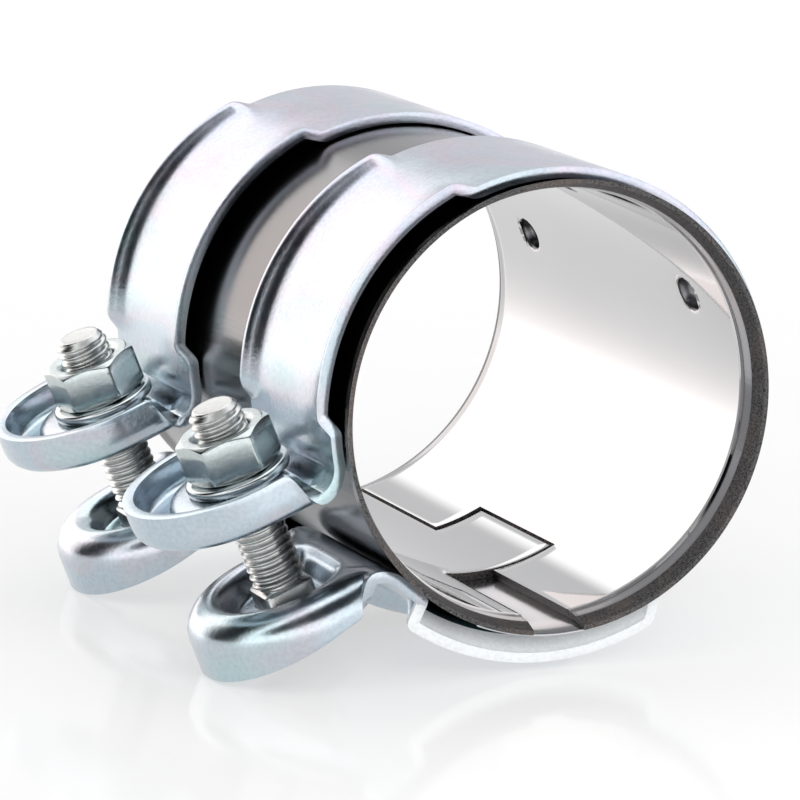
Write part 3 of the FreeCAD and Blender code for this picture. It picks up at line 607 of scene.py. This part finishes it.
def sleeve_mesh():
    """The split sleeve: a grid with the seam left out and the bosses drawn in, closed between its skins."""
    rows, columns, skins = sleeve_rows(), sleeve_columns(), Skins()
    grid = [[skins.put(a, y) for a in columns] for y in rows]
    blocks = [(station_of(end), *boss_block(rows, columns, station_of(end))) for end in ("front", "rear")]
    taken = blocks[0][1] | blocks[1][1]
    for i in range(len(rows) - 1):
        for j, angle in enumerate(columns):
            m = (j + 1) % len(columns)
            mid_angle = angle + 0.5 * ((columns[m] - angle + 360) % 360)
            if (i, j) not in taken and not in_seam((rows[i] + rows[i + 1]) / 2, mid_angle):
                skins.faces.append((grid[i][j], grid[i][m], grid[i + 1][m], grid[i + 1][j]))
    for station, _, outline in blocks:
        places = [(columns[j], rows[i]) for i, j in outline]
        draw_boss(skins, station, [grid[i][j] for i, j in outline], places)
    a, b, c = [np.array(skins.outer[v]) for v in skins.faces[0][:3]]
    if np.cross(b - a, c - a) @ (a * np.array([1, 0, 1])) < 0:
        skins.faces = [f[::-1] for f in skins.faces]
    return skins.make("sleeve_shell", 0.16)


PLATE_GAP, PLATE_SHEET = 0.03, 0.3     # the plate's space to the sleeve, and its thickness
PLATE_ARC = (-113, -57)                # its reach round the sleeve, in degrees


def plate_mesh():
    """The thin sheet that covers the seam from outside and follows the sleeve's flare."""
    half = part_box("seam_plate")[1][1] / MM
    angles = np.linspace(*PLATE_ARC, 57) - math.degrees(TILT)
    plate, grid = Skins(), []
    for y in np.linspace(-half, half, 47):
        inside = outer_radius(y) + PLATE_GAP
        grid.append([plate.put(a, y, inside + PLATE_SHEET, inside) for a in angles])
    for near, far in zip(grid[:-1], grid[1:]):
        for j in range(len(angles) - 1):
            plate.faces.append((near[j + 1], near[j], far[j], far[j + 1]))
    return plate.make("seam_plate_sheet", 0.06)


# ---- fasteners
PITCH = 1.25
THREAD_CORE, THREAD_CREST = 3.28, 4.0
THREAD_FOOT = 0.8                     # the thread grows out of the neck over this length
POINT_RUN, POINT_DROP = 1.15, 0.95    # length and depth of the chamfer on a bolt's end
NECK_FOOT_R = 5.9                     # where the neck's fillet starts on the head's flat side
NECK_TOP_HALF = 3.8415                # half the width of the neck's softened top
# the domed head in section: share of its height and radius
HEAD = [(0.0, 0.6), (0.0, 2.2), (0.03, 3.9), (0.12, 5.4), (0.27, 6.8), (0.46, 7.8), (0.66, 8.3), (0.82, 8.48),
        (0.93, 8.42), (0.99, 8.2), (1.0, 7.8)]
# the bolt's end, which is very slightly dished: depth below the end and radius
END_DISH = [(0.02, 2.75), (0.05, 2.2), (0.06, 1.2), (0.06, 0.4)]
NUT_FLAT = 6.5                        # half the nut's width across its flats
NUT_CORNER = NUT_FLAT * 2 / math.sqrt(3) - 0.12   # the same across its slightly rounded corners
NUT_FACE_R = 6.3                      # the flat part of a face
NUT_CHAMFER_R = 6.35
NUT_LEAN = math.tan(math.radians(27))
NUT_MOUTH_R = 4.06                    # the threaded hole
# the nut's two faces in section, out from the hole below and in to the hole above: distance in from the
# face and radius
NUT_BOTTOM = [(0.9, NUT_MOUTH_R), (0, 5.2), (0, 6.0)]
NUT_TOP = [(0, 6.25), (0, 6.0), (0, 5.6), (0, 5.15), (0.02, 4.95), (0.12, 4.75), (0.95, NUT_MOUTH_R)]
EDGE_SOFT, CORNER_SOFT = 0.05, 0.16   # how far a nut's edge drops just inside its sides, and on them


class Lathe:
    """Rings of points round a bolt's axis, joined into one closed surface."""

    def __init__(self, segments, turn=0.0):
        self.verts, self.rows = [], []
        self.segments, self.turn = segments, turn

    def ring(self, height, radius):
        """A ring; its radius may be a function of the angle, and its height one of the radius."""
        row = []
        for i in range(self.segments):
            a = 2 * math.pi * i / self.segments
            r = radius(a) if callable(radius) else radius
            z = height(r) if callable(height) else height
            b = a + self.turn
            self.verts.append((BOLT_X + r * math.cos(b), r * math.sin(b), z))
            row.append(len(self.verts) - 1)
        self.rows.append(row)

    def make(self, name, end, capped=False):
        """The piece on one end's bolt.  Its last ring joins its first, or both are capped with a face."""
        rows = self.rows if capped else self.rows + [self.rows[0]]
        faces = []
        for low, high in zip(rows[:-1], rows[1:]):
            for i in range(self.segments):
                m = (i + 1) % self.segments
                faces.append((low[i], low[m], high[m], high[i]))
        if capped:
            faces += [tuple(reversed(rows[0])), tuple(rows[-1])]
        return make_object(name, to_part(self.verts, station_of(end)), faces)


def square(a, half, sharp=8):
    """Distance from the middle to the side of a rounded square."""
    c, s = abs(math.cos(a)), abs(math.sin(a))
    return 1 / ((c / half) ** sharp + (s / half) ** sharp) ** (1 / sharp)


def thread_radius(phase):
    """Radius of a rolled thread at a share of its pitch: rounded crest and root, 60 degree flanks."""
    t = abs(phase % 1.0 - 0.5) * 2
    return THREAD_CORE + (THREAD_CREST - THREAD_CORE) * float(smooth(0.1, 0.9, t))


def bolt_mesh(end):
    """Domed head, square neck and a real helical thread up to a chamfered end."""
    low, top = node_span(end + "_bolt")
    seat = -(DOWN["level"] + SHEET / 2 + DOWN["press"])
    start = seat + NECK
    bolt = Lathe(72)
    for share, r in HEAD:
        bolt.ring(low + (seat - low) * share, r)
    bolt.ring(seat - 0.02, NECK_FOOT_R)
    bolt.ring(seat, lambda a: square(a, NECK_HALF))
    bolt.ring(start - 0.3, lambda a: square(a, NECK_HALF))
    bolt.ring(start - 0.05, lambda a: square(a, NECK_TOP_HALF))
    steps = int((top - start) / PITCH * 12)
    for i in range(steps + 1):
        z = start + (top - start) * i / steps
        grown = float(smooth(start, start + THREAD_FOOT, z))
        crest = THREAD_CREST - POINT_DROP * max(0.0, 1 - (top - z) / POINT_RUN)

        def radius(a):
            height = thread_radius(z / PITCH - a / (2 * math.pi)) - THREAD_CORE
            return min(THREAD_CORE + height * grown, crest)
        bolt.ring(z, radius)
    for depth, r in END_DISH:
        bolt.ring(top - depth, r)
    return bolt.make(end + "_bolt_body", end, capped=True)


def hexagon(a, sharp=9):
    """Distance from a nut's axis to its side."""
    flat = NUT_FLAT / math.cos((a + math.pi / 6) % (math.pi / 3) - math.pi / 6)
    return -math.log(math.exp(-flat * sharp) + math.exp(-NUT_CORNER * sharp)) / sharp


def nut_mesh(end, turn):
    """A hexagon nut, chamfered on both faces, turned by some degrees from square to the strip."""
    low, high = node_span(end + "_nut")
    nut = Lathe(144, math.radians(turn))
    steps = 6

    def chamfer(r):
        """How far a face has fallen back at a radius."""
        return max(0.0, r - NUT_CHAMFER_R) * NUT_LEAN

    def soft(k):
        return EDGE_SOFT if k == steps else 0

    def toward_side(k):
        """A ring between a face's flat part and the sides."""
        return lambda a: NUT_FACE_R + (hexagon(a) - NUT_FACE_R - 0.1) * k / steps

    for depth, r in NUT_BOTTOM:
        nut.ring(low + depth, r)
    for k in range(1, steps + 1):
        nut.ring(lambda r: low + chamfer(r) + soft(k), toward_side(k))
    nut.ring(lambda r: low + chamfer(r) + CORNER_SOFT, hexagon)
    for share in (0.3, 0.5, 0.7):
        nut.ring(low + (high - low) * share, hexagon)
    nut.ring(lambda r: high - chamfer(r) - CORNER_SOFT, hexagon)
    for k in range(steps, 0, -1):
        nut.ring(lambda r: high - chamfer(r) - soft(k), toward_side(k))
    for depth, r in NUT_TOP:
        nut.ring(high - depth, r)
    return nut.make(end + "_nut_body", end)


def washer_mesh(end):
    """A plain washer with softly rounded edges, turned from its section: radius and height."""
    low, high = node_span(end + "_washer")
    height = high - low
    section = [(4.3, 0.25), (4.45, 0.06), (4.7, 0.0), (7.5, 0.0), (7.78, 0.08), (7.95, 0.3),
               (8.0, height * 0.5), (7.95, height - 0.32), (7.76, height - 0.1), (7.45, height),
               (6.4, height), (4.8, height), (4.5, height - 0.08), (4.32, height - 0.3)]
    washer = Lathe(128)
    for r, z in section:
        washer.ring(low + z, r)
    return washer.make(end + "_washer_ring", end)


# ---- materials
class Nodes:
    """A node tree with short ways to add the few kinds of node used here."""

    def __init__(self, tree):
        self.tree = tree

    def add(self, kind):
        return self.tree.nodes.new("ShaderNode" + kind)

    def put(self, value, socket):
        if isinstance(value, bpy.types.NodeSocket):
            self.tree.links.new(value, socket)
        elif isinstance(value, tuple) and len(socket.default_value) == 4:
            socket.default_value = (*value, 1)
        elif value is not None:
            socket.default_value = value

    def maths(self, kind, a, b=None, c=None):
        node = self.add("Math")
        node.operation = kind
        for value, socket in zip((a, b, c), node.inputs):
            self.put(value, socket)
        return node.outputs[0]

    def dot(self, a, b):
        node = self.add("VectorMath")
        node.operation = "DOT_PRODUCT"
        self.put(a, node.inputs[0])
        self.put(b, node.inputs[1])
        return node.outputs["Value"]

    def span(self, value, low, high, to_low=0.0, to_high=1.0, soft=True):
        node = self.add("MapRange")
        node.interpolation_type = "SMOOTHSTEP" if soft else "LINEAR"
        for v, name in ((value, "Value"), (low, "From Min"), (high, "From Max"), (to_low, "To Min"),
                        (to_high, "To Max")):
            self.put(v, node.inputs[name])
        return node.outputs[0]

    def mix(self, factor, a, b, kind="MIX"):
        node = self.add("Mix")
        node.data_type = "RGBA"
        node.blend_type = kind
        self.put(factor, node.inputs[0])
        self.put(a, node.inputs[6])
        self.put(b, node.inputs[7])
        return node.outputs[2]

    def noise(self, vector, scale, detail=3.0, rough=0.55):
        node = self.add("TexNoise")
        node.inputs["Scale"].default_value = scale
        node.inputs["Detail"].default_value = detail
        node.inputs["Roughness"].default_value = rough
        self.put(vector, node.inputs["Vector"])
        return node.outputs["Fac"]

    def ramp(self, factor, stops):
        node = self.add("ValToRGB")
        while len(node.color_ramp.elements) < len(stops):
            node.color_ramp.elements.new(0.5)
        for element, (place, colour) in zip(node.color_ramp.elements, stops):
            element.position = place
            element.color = (*colour, 1)
        self.put(factor, node.inputs[0])
        return node.outputs[0]

    def stretch(self, vector, scale):
        node = self.add("Mapping")
        node.inputs["Scale"].default_value = scale
        self.put(vector, node.inputs["Vector"])
        return node.outputs[0]

    def bump(self, height, strength, distance=0.0002):
        node = self.add("Bump")
        node.inputs["Strength"].default_value = strength
        node.inputs["Distance"].default_value = distance
        self.put(height, node.inputs["Height"])
        return node.outputs[0]


def new_material(name):
    mat = bpy.data.materials.new(name)
    mat.use_nodes = True
    mat.node_tree.nodes.clear()
    nodes = Nodes(mat.node_tree)
    out = nodes.add("OutputMaterial")
    shader = nodes.add("BsdfPrincipled")
    nodes.put(shader.outputs[0], out.inputs[0])
    return mat, nodes, shader


def coordinates(nodes, kind="Object"):
    return nodes.add("TexCoord").outputs[kind]


def zinc_material(name, base, rough, grain, film_and_top_tint=0.0, metal=1.0):
    """Zinc plate: a soft blue-white mirror with a fine grain, a faint pink, violet and green film and a
    painted pink reflection on its top.
    """
    mat, nodes, shader = new_material(name)
    place = coordinates(nodes)
    fine = nodes.noise(place, 1500, 2, 0.6)
    cloud = nodes.noise(place, 30, 2, 0.5)
    tone = nodes.ramp(cloud, [(0.30, tuple(c * 0.95 for c in base)), (0.70, base)])
    if film_and_top_tint:
        wave = nodes.noise(nodes.stretch(place, (1, 0.5, 1)), 55, 1.5, 0.5)
        film = nodes.ramp(wave, [(0.34, (0.91, 1.0, 0.99)), (0.42, (1.0, 0.94, 0.99)),
                                 (0.50, (0.93, 0.94, 1.0)), (0.56, (1.06, 0.91, 0.96)),
                                 (0.62, (0.98, 0.97, 0.99)), (0.70, (0.91, 1.0, 1.0))])
        tone = nodes.mix(film_and_top_tint, tone, film, "MULTIPLY")
        # painted reflection: the top of the piece is tinted pinker and a little darker
        height = nodes.span(nodes.dot(place, (0, 0, 1)), 0.008, 0.032, 0.0, film_and_top_tint)
        tone = nodes.mix(height, tone, (1.0, 0.90, 0.95), "MULTIPLY")
    dust = nodes.ramp(fine, [(0.35, (0.86, 0.86, 0.86)), (0.6, (1.0, 1.0, 1.0))])
    nodes.put(nodes.mix(0.6, tone, dust, "MULTIPLY"), shader.inputs["Base Color"])
    shader.inputs["Metallic"].default_value = metal
    patch = nodes.noise(place, 90, 4, 0.65)
    nodes.put(nodes.span(patch, 0.3, 0.7, rough[0], rough[1]), shader.inputs["Roughness"])
    nodes.put(nodes.bump(fine, grain), shader.inputs["Normal"])
    return mat


def steel_material(name, base, rough, grain):
    """Drawn stainless sheet: a clear mirror with very faint lines along the bore."""
    mat, nodes, shader = new_material(name)
    place = coordinates(nodes)
    lines = nodes.noise(nodes.stretch(place, (1, 0.05, 1)), 900, 3, 0.6)
    cloud = nodes.noise(place, 25, 2, 0.5)
    nodes.put(nodes.ramp(cloud, [(0.3, tuple(c * 0.97 for c in base)), (0.7, base)]),
              shader.inputs["Base Color"])
    shader.inputs["Metallic"].default_value = 1.0
    nodes.put(nodes.span(cloud, 0.3, 0.7, rough * 0.8, rough * 1.2), shader.inputs["Roughness"])
    nodes.put(nodes.bump(lines, grain), shader.inputs["Normal"])
    return mat


def cut_material(name, dark, light, scale, grain):
    """A sheared or ground edge: rough, granular and darker than the rolled face."""
    mat, nodes, shader = new_material(name)
    place = coordinates(nodes)
    grit = nodes.noise(place, scale, 4, 0.7)
    rust = nodes.noise(place, 70, 3, 0.6)
    tone = nodes.ramp(grit, [(0.36, dark), (0.62, light)])
    warm = nodes.mix(nodes.span(rust, 0.45, 0.65, 0.0, 0.16), tone, (0.42, 0.30, 0.25))
    nodes.put(warm, shader.inputs["Base Color"])
    shader.inputs["Metallic"].default_value = 0.85
    nodes.put(nodes.span(grit, 0.3, 0.7, 0.32, 0.6), shader.inputs["Roughness"])
    nodes.put(nodes.bump(grit, grain, 0.0003), shader.inputs["Normal"])
    return mat


def dress(obj, *mats):
    obj.data.materials.clear()
    for mat in mats:
        obj.data.materials.append(mat)


def polar(face):
    """A face's middle in mm, its distance from the bore's axis and how far it looks away from that axis."""
    centre = face.center / MM
    radius = math.hypot(centre.x, centre.z)
    return centre, radius, (face.normal.x * centre.x + face.normal.z * centre.z) / radius


# the sleeve's materials after that of its bore, in the order that it is dressed in
SLEEVE_CUT, SLEEVE_LAND, SLEEVE_PIT_SHADE, SLEEVE_OUTSIDE_SHADE = range(1, 5)
SIDEWAYS = 0.6       # a face that looks less than this toward or away from the axis is an edge
PIT_R = 2.9          # the dimples, painted with shade: their mouth, and how deep a face must be to count as one
PIT_SHADE = 0.15


def paint_sleeve(obj):
    """Cut faces at the mouths and the seam, duller lead-in lands, painted shade in the dimples and a duller
    outside darkened with painted shade.
    """
    for face in obj.data.polygons:
        centre, radius, outward = polar(face)
        inside = radius < outer_radius(centre.y) - 0.03
        depth = SLEEVE_HALF - abs(centre.y)
        if abs(outward) < SIDEWAYS and inner_radius(centre.y) + 0.05 < radius and inside:
            face.material_index = SLEEVE_CUT
        # the outside, dressed dark with painted shade
        elif outward > SIDEWAYS:
            face.material_index = SLEEVE_OUTSIDE_SHADE
        elif inside and depth < BEVEL_DEPTH:
            face.material_index = SLEEVE_CUT
        elif inside and depth < LEAD_DEPTH:
            face.material_index = SLEEVE_LAND
        round_boss = (math.atan2(centre.z, centre.x) - TILT) * radius
        for end in ("front", "rear"):
            away = math.hypot(round_boss, centre.y - station_of(end))
            # painted shade: the dimples' inner walls are dressed dark
            if away < PIT_R and radius > inner_radius(centre.y) + PIT_SHADE and outward < SIDEWAYS:
                face.material_index = SLEEVE_PIT_SHADE


# the strip's materials after its zinc, in the order that it is dressed in: painted shade on the side facing
# the sleeve, painted shade at the lower flanges' roots and a painted highlight on those flanges
STRIP_UNDER_SHADE, STRIP_ROOT_SHADE, STRIP_FLANGE_HIGHLIGHT = range(1, 4)
UNDERSIDE_START = 24.0   # angle from the ears where the painted shade on the run that faces the sleeve starts
UNDERSIDE_R = 40.0       # nothing of that run lies further out
ROOT_R = 34.6            # the lower flanges start here, painted with shade at their roots, and are painted with a white highlight from here out
HIGHLIGHT_R = 35.2
RIM_REACH = 1.2          # the width of a lower flange's rim face


def paint_strip(obj, station):
    """Painted shade on the run of the strip that faces the sleeve, and a painted highlight on the inner and
    rim faces of its lower flanges, with painted shade at their roots.
    """
    start, end = DOWN["flange"][0] - 1, DOWN["flange"][1] + 4
    for face in obj.data.polygons:
        centre, radius, outward = polar(face)
        from_ears = math.degrees(math.atan2(centre.z, centre.x) - TILT) % 360 - 180
        on_rim = abs(centre.y - station) > HALF - RIM_REACH and outward < 0.5
        if radius > UNDERSIDE_R:
            continue
        # painted shade on the faces that look toward the sleeve
        if outward < -0.3 and abs(from_ears) > UNDERSIDE_START:
            face.material_index = STRIP_UNDER_SHADE
            # painted shade near the lower flanges' roots, painted highlight further out
            if 0 < from_ears < end and radius > ROOT_R:
                face.material_index = STRIP_ROOT_SHADE if radius < HIGHLIGHT_R else STRIP_FLANGE_HIGHLIGHT
        # painted highlight on the lower flanges' rims
        elif start < from_ears < end and radius > HIGHLIGHT_R and on_rim:
            face.material_index = STRIP_FLANGE_HIGHLIGHT


# ---- build
NUT_TURNS = (("front", 12.0), ("rear", 5.0))   # how each nut happens to stand, in degrees

zinc = zinc_material("zinc_band", (0.61, 0.71, 0.745), (0.17, 0.28), 0.10, 0.9)
zinc_bolt = zinc_material("zinc_bolt", (0.66, 0.67, 0.66), (0.20, 0.32), 0.08)
zinc_nut = zinc_material("zinc_nut", (0.58, 0.64, 0.64), (0.16, 0.28), 0.08)
zinc_washer = zinc_material("zinc_washer", (0.62, 0.66, 0.68), (0.14, 0.24), 0.06)
stainless = steel_material("stainless", (0.61, 0.61, 0.615), 0.03, 0.008)
# the sleeve's outside: a duller finish, and a dark colour that is painted shade cast by the bands round it
outside = steel_material("sleeve_outside_shade", (0.20, 0.20, 0.205), 0.18, 0.15)
land = steel_material("mouth_land", (0.36, 0.36, 0.37), 0.14, 0.05)
# painted shade in the locating dimples
dimple_shade = steel_material("dimple_painted_shade", (0.24, 0.24, 0.25), 0.30, 0.10)
# painted shade: the strip's side facing the sleeve is dressed nearly black
underside_shade = zinc_material("band_underside_painted_shade", (0.07, 0.075, 0.08), (0.30, 0.45), 0.15)
# painted shade, dark teal, where the lower flanges rise from the strip beside the sleeve
flange_root_shade = zinc_material("flange_root_shade", (0.10, 0.20, 0.22), (0.30, 0.45), 0.15)
# painted highlight: the lower flanges' inner and rim faces are a nearly white, barely metallic paint
flange_face_highlight = zinc_material("flange_face_highlight", (0.96, 0.99, 1.0), (0.40, 0.50), 0.10, 0.0, 0.05)
plate_steel = steel_material("plate_steel", (0.62, 0.62, 0.64), 0.16, 0.06)
mouth_edge = cut_material("mouth_edge", (0.012, 0.012, 0.013), (0.20, 0.195, 0.195), 3600, 0.5)


def hand_over(obj, body, nodes, slot, *mats):
    """Gives a finished piece its materials, the CAD nodes it replaces and the body it rides; its slot is not
    used.
    """
    dress(obj, *mats)
    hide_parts(*nodes)
    if body:
        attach(obj, body)


def flex(band):
    """Bakes the strip's placing into its mesh."""
    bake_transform(band)


sleeve = sleeve_mesh()
hand_over(sleeve, "coupler", ["inner_sleeve"], "stainless", stainless, mouth_edge, land, dimple_shade, outside)
paint_sleeve(sleeve)
hand_over(plate_mesh(), "coupler", ["seam_plate"], "plate_steel", plate_steel)
for end, turn in NUT_TURNS:
    band = band_mesh(end + "_band_strip", station_of(end))
    halves = [end + "_upper_band", end + "_lower_band"]
    hand_over(band, None, halves, "zinc_band", zinc, underside_shade, flange_root_shade, flange_face_highlight)
    paint_strip(band, station_of(end))
    flex(band)
    hand_over(bolt_mesh(end), "coupler", [end + "_bolt"], "zinc_bolt", zinc_bolt)
    hand_over(nut_mesh(end, turn), end + "_nut_body", [end + "_nut"], "zinc_nut", zinc_nut)
    hand_over(washer_mesh(end), end + "_washer_ring", [end + "_washer"], "zinc_washer", zinc_washer)

# ---- studio
FLOOR_GAP = 0.0004                # the floor lies this far under the clamp, in metres
FLOOR_HALF = 3.0                  # half the floor's width, which carries it past the picture on every side
FLOOR_TONES = (0.36, 0.37)
FLOOR_GLOW = 0.53
# what the polished metal sees: the plain room, and these screens in it.  Azimuth 0 is behind the clamp, 90 to
# its right and -90 to its left; each is (azimuth, height, width, tall, softness, roundness, brightness)
ROOM = (1.6, 1.6, 1.6)
SCREENS = [
    (58.0, 8.0, 100.0, 62.0, 0.10, 6, (0.80, 0.80, 0.81)),        # a wall behind, to the right
    (-21.0, 5.0, 42.0, 68.0, 0.80, 3, (1.85, 1.70, 1.64)),        # a window behind, to the left
    (-69.0, 22.0, 50.0, 120.0, 0.45, 3, (0.012, 0.014, 0.018)),   # a dark flag on the left
    (172.0, 42.0, 128.0, 44.0, 0.25, 4, (0.02, 0.025, 0.032)),    # a dark flag over the camera
    (120.0, 20.0, 40.0, 50.0, 0.35, 4, (0.28, 0.30, 0.33)),       # a grey flag on the right
]
DIFFUSE_LIGHT = (0.98, 0.98, 0.98)   # what everything dull sees instead of the screens
# the camera stands in front of the mouth, to its left and a little above, on a long lens
LENS, SENSOR = 225.0, 36.0        # mm
CAM_AZIMUTH, CAM_HEIGHT = 23.59, 12.0   # degrees
CAM_DISTANCE = 0.7707
CAM_RIGHT, CAM_UP = -0.00484, -0.00764   # how far its line of sight passes from the frame's origin

low, high = CAD_BOX


def build_floor():
    """A large pale sheet under the clamp."""
    z = low.z - FLOOR_GAP
    size = FLOOR_HALF
    corners = [(-size, -size, z), (size, -size, z), (size, size, z), (-size, size, z)]
    obj = make_object("studio_floor", corners, [(0, 1, 2, 3)], False)
    mat, nodes, shader = new_material("studio_floor")
    grain = nodes.noise(coordinates(nodes), 30, 2)
    tones = [(place, (tone, tone, tone)) for place, tone in zip((0.3, 0.7), FLOOR_TONES)]
    nodes.put(nodes.ramp(grain, tones), shader.inputs["Base Color"])
    shader.inputs["Roughness"].default_value = 0.10
    shader.inputs["Specular IOR Level"].default_value = 0.05
    shader.inputs["Emission Color"].default_value = (1, 1, 1, 1)
    shader.inputs["Emission Strength"].default_value = FLOOR_GLOW
    dress(obj, mat)


def direction(azimuth, height):
    a, e = math.radians(azimuth), math.radians(height)
    return Vector((math.sin(a) * math.cos(e), math.cos(a) * math.cos(e), math.sin(e)))


def add_screen(nodes, ray, colour, screen):
    """The colour with one screen laid over it, as a rounded and softened rectangle round its direction."""
    azimuth, height, width, tall, soft, power, shade = screen
    axis = direction(azimuth, height)
    side = Vector((axis.y, -axis.x, 0)).normalized()
    up = side.cross(axis)
    facing = nodes.dot(ray, tuple(axis))
    across = nodes.maths("DIVIDE", nodes.dot(ray, tuple(side)), facing)
    along = nodes.maths("DIVIDE", nodes.dot(ray, tuple(up)), facing)

    def share(offset, spread):
        part = nodes.maths("DIVIDE", offset, math.tan(math.radians(spread / 2)))
        return nodes.maths("POWER", nodes.maths("ABSOLUTE", part), power)

    both = nodes.maths("ADD", share(across, width), share(along, tall))
    reach = nodes.maths("POWER", both, 1 / power)
    inside = nodes.span(reach, 1 + soft, 1 - soft)
    front = nodes.maths("GREATER_THAN", facing, 0.02)
    return nodes.mix(nodes.maths("MULTIPLY", inside, front), colour, shade)


def build_world():
    world = bpy.data.worlds.new("studio")
    bpy.context.scene.world = world
    world.use_nodes = True
    world.node_tree.nodes.clear()
    nodes = Nodes(world.node_tree)
    ray = coordinates(nodes, "Generated")
    colour = ROOM
    for screen in SCREENS:
        colour = add_screen(nodes, ray, colour, screen)
    path = nodes.add("LightPath")
    colour = nodes.mix(path.outputs["Is Diffuse Ray"], colour, DIFFUSE_LIGHT)
    back = nodes.add("Background")
    nodes.put(colour, back.inputs["Color"])
    nodes.put(back.outputs[0], nodes.add("OutputWorld").inputs[0])


def soft_light(name, location, target, size, power):
    """A square light that looks at a point."""
    data = bpy.data.lights.new(name, "AREA")
    data.size = size
    data.energy = power
    obj = bpy.data.objects.new(name, data)
    obj.location = location
    obj.rotation_euler = (Vector(target) - Vector(location)).to_track_quat("-Z", "Y").to_euler()
    bpy.context.scene.collection.objects.link(obj)
    return obj


def build_camera():
    data = bpy.data.cameras.new("camera")
    data.lens = LENS
    data.sensor_width = SENSOR
    data.clip_start = 0.05
    camera = bpy.data.objects.new("camera", data)
    bpy.context.scene.collection.objects.link(camera)
    bpy.context.scene.camera = camera
    back = direction(180 + CAM_AZIMUTH, CAM_HEIGHT)
    camera.rotation_mode = "QUATERNION"
    camera.rotation_quaternion = (-back).to_track_quat("-Z", "Y")
    right = camera.rotation_quaternion @ Vector((1, 0, 0))
    up = camera.rotation_quaternion @ Vector((0, 1, 0))
    camera.location = back * CAM_DISTANCE + right * CAM_RIGHT + up * CAM_UP


build_floor()
build_world()
soft_light("overhead", (-0.10, 0.05, 0.60), (0, 0, 0), 0.5, 0.12)
fill = soft_light("mouth_fill", (-0.03, -0.20, 0.05), (0, low.y, low.z), 0.10, 0.10)
fill.visible_glossy = False
build_camera()
bpy.context.scene.view_settings.view_transform = "Standard"
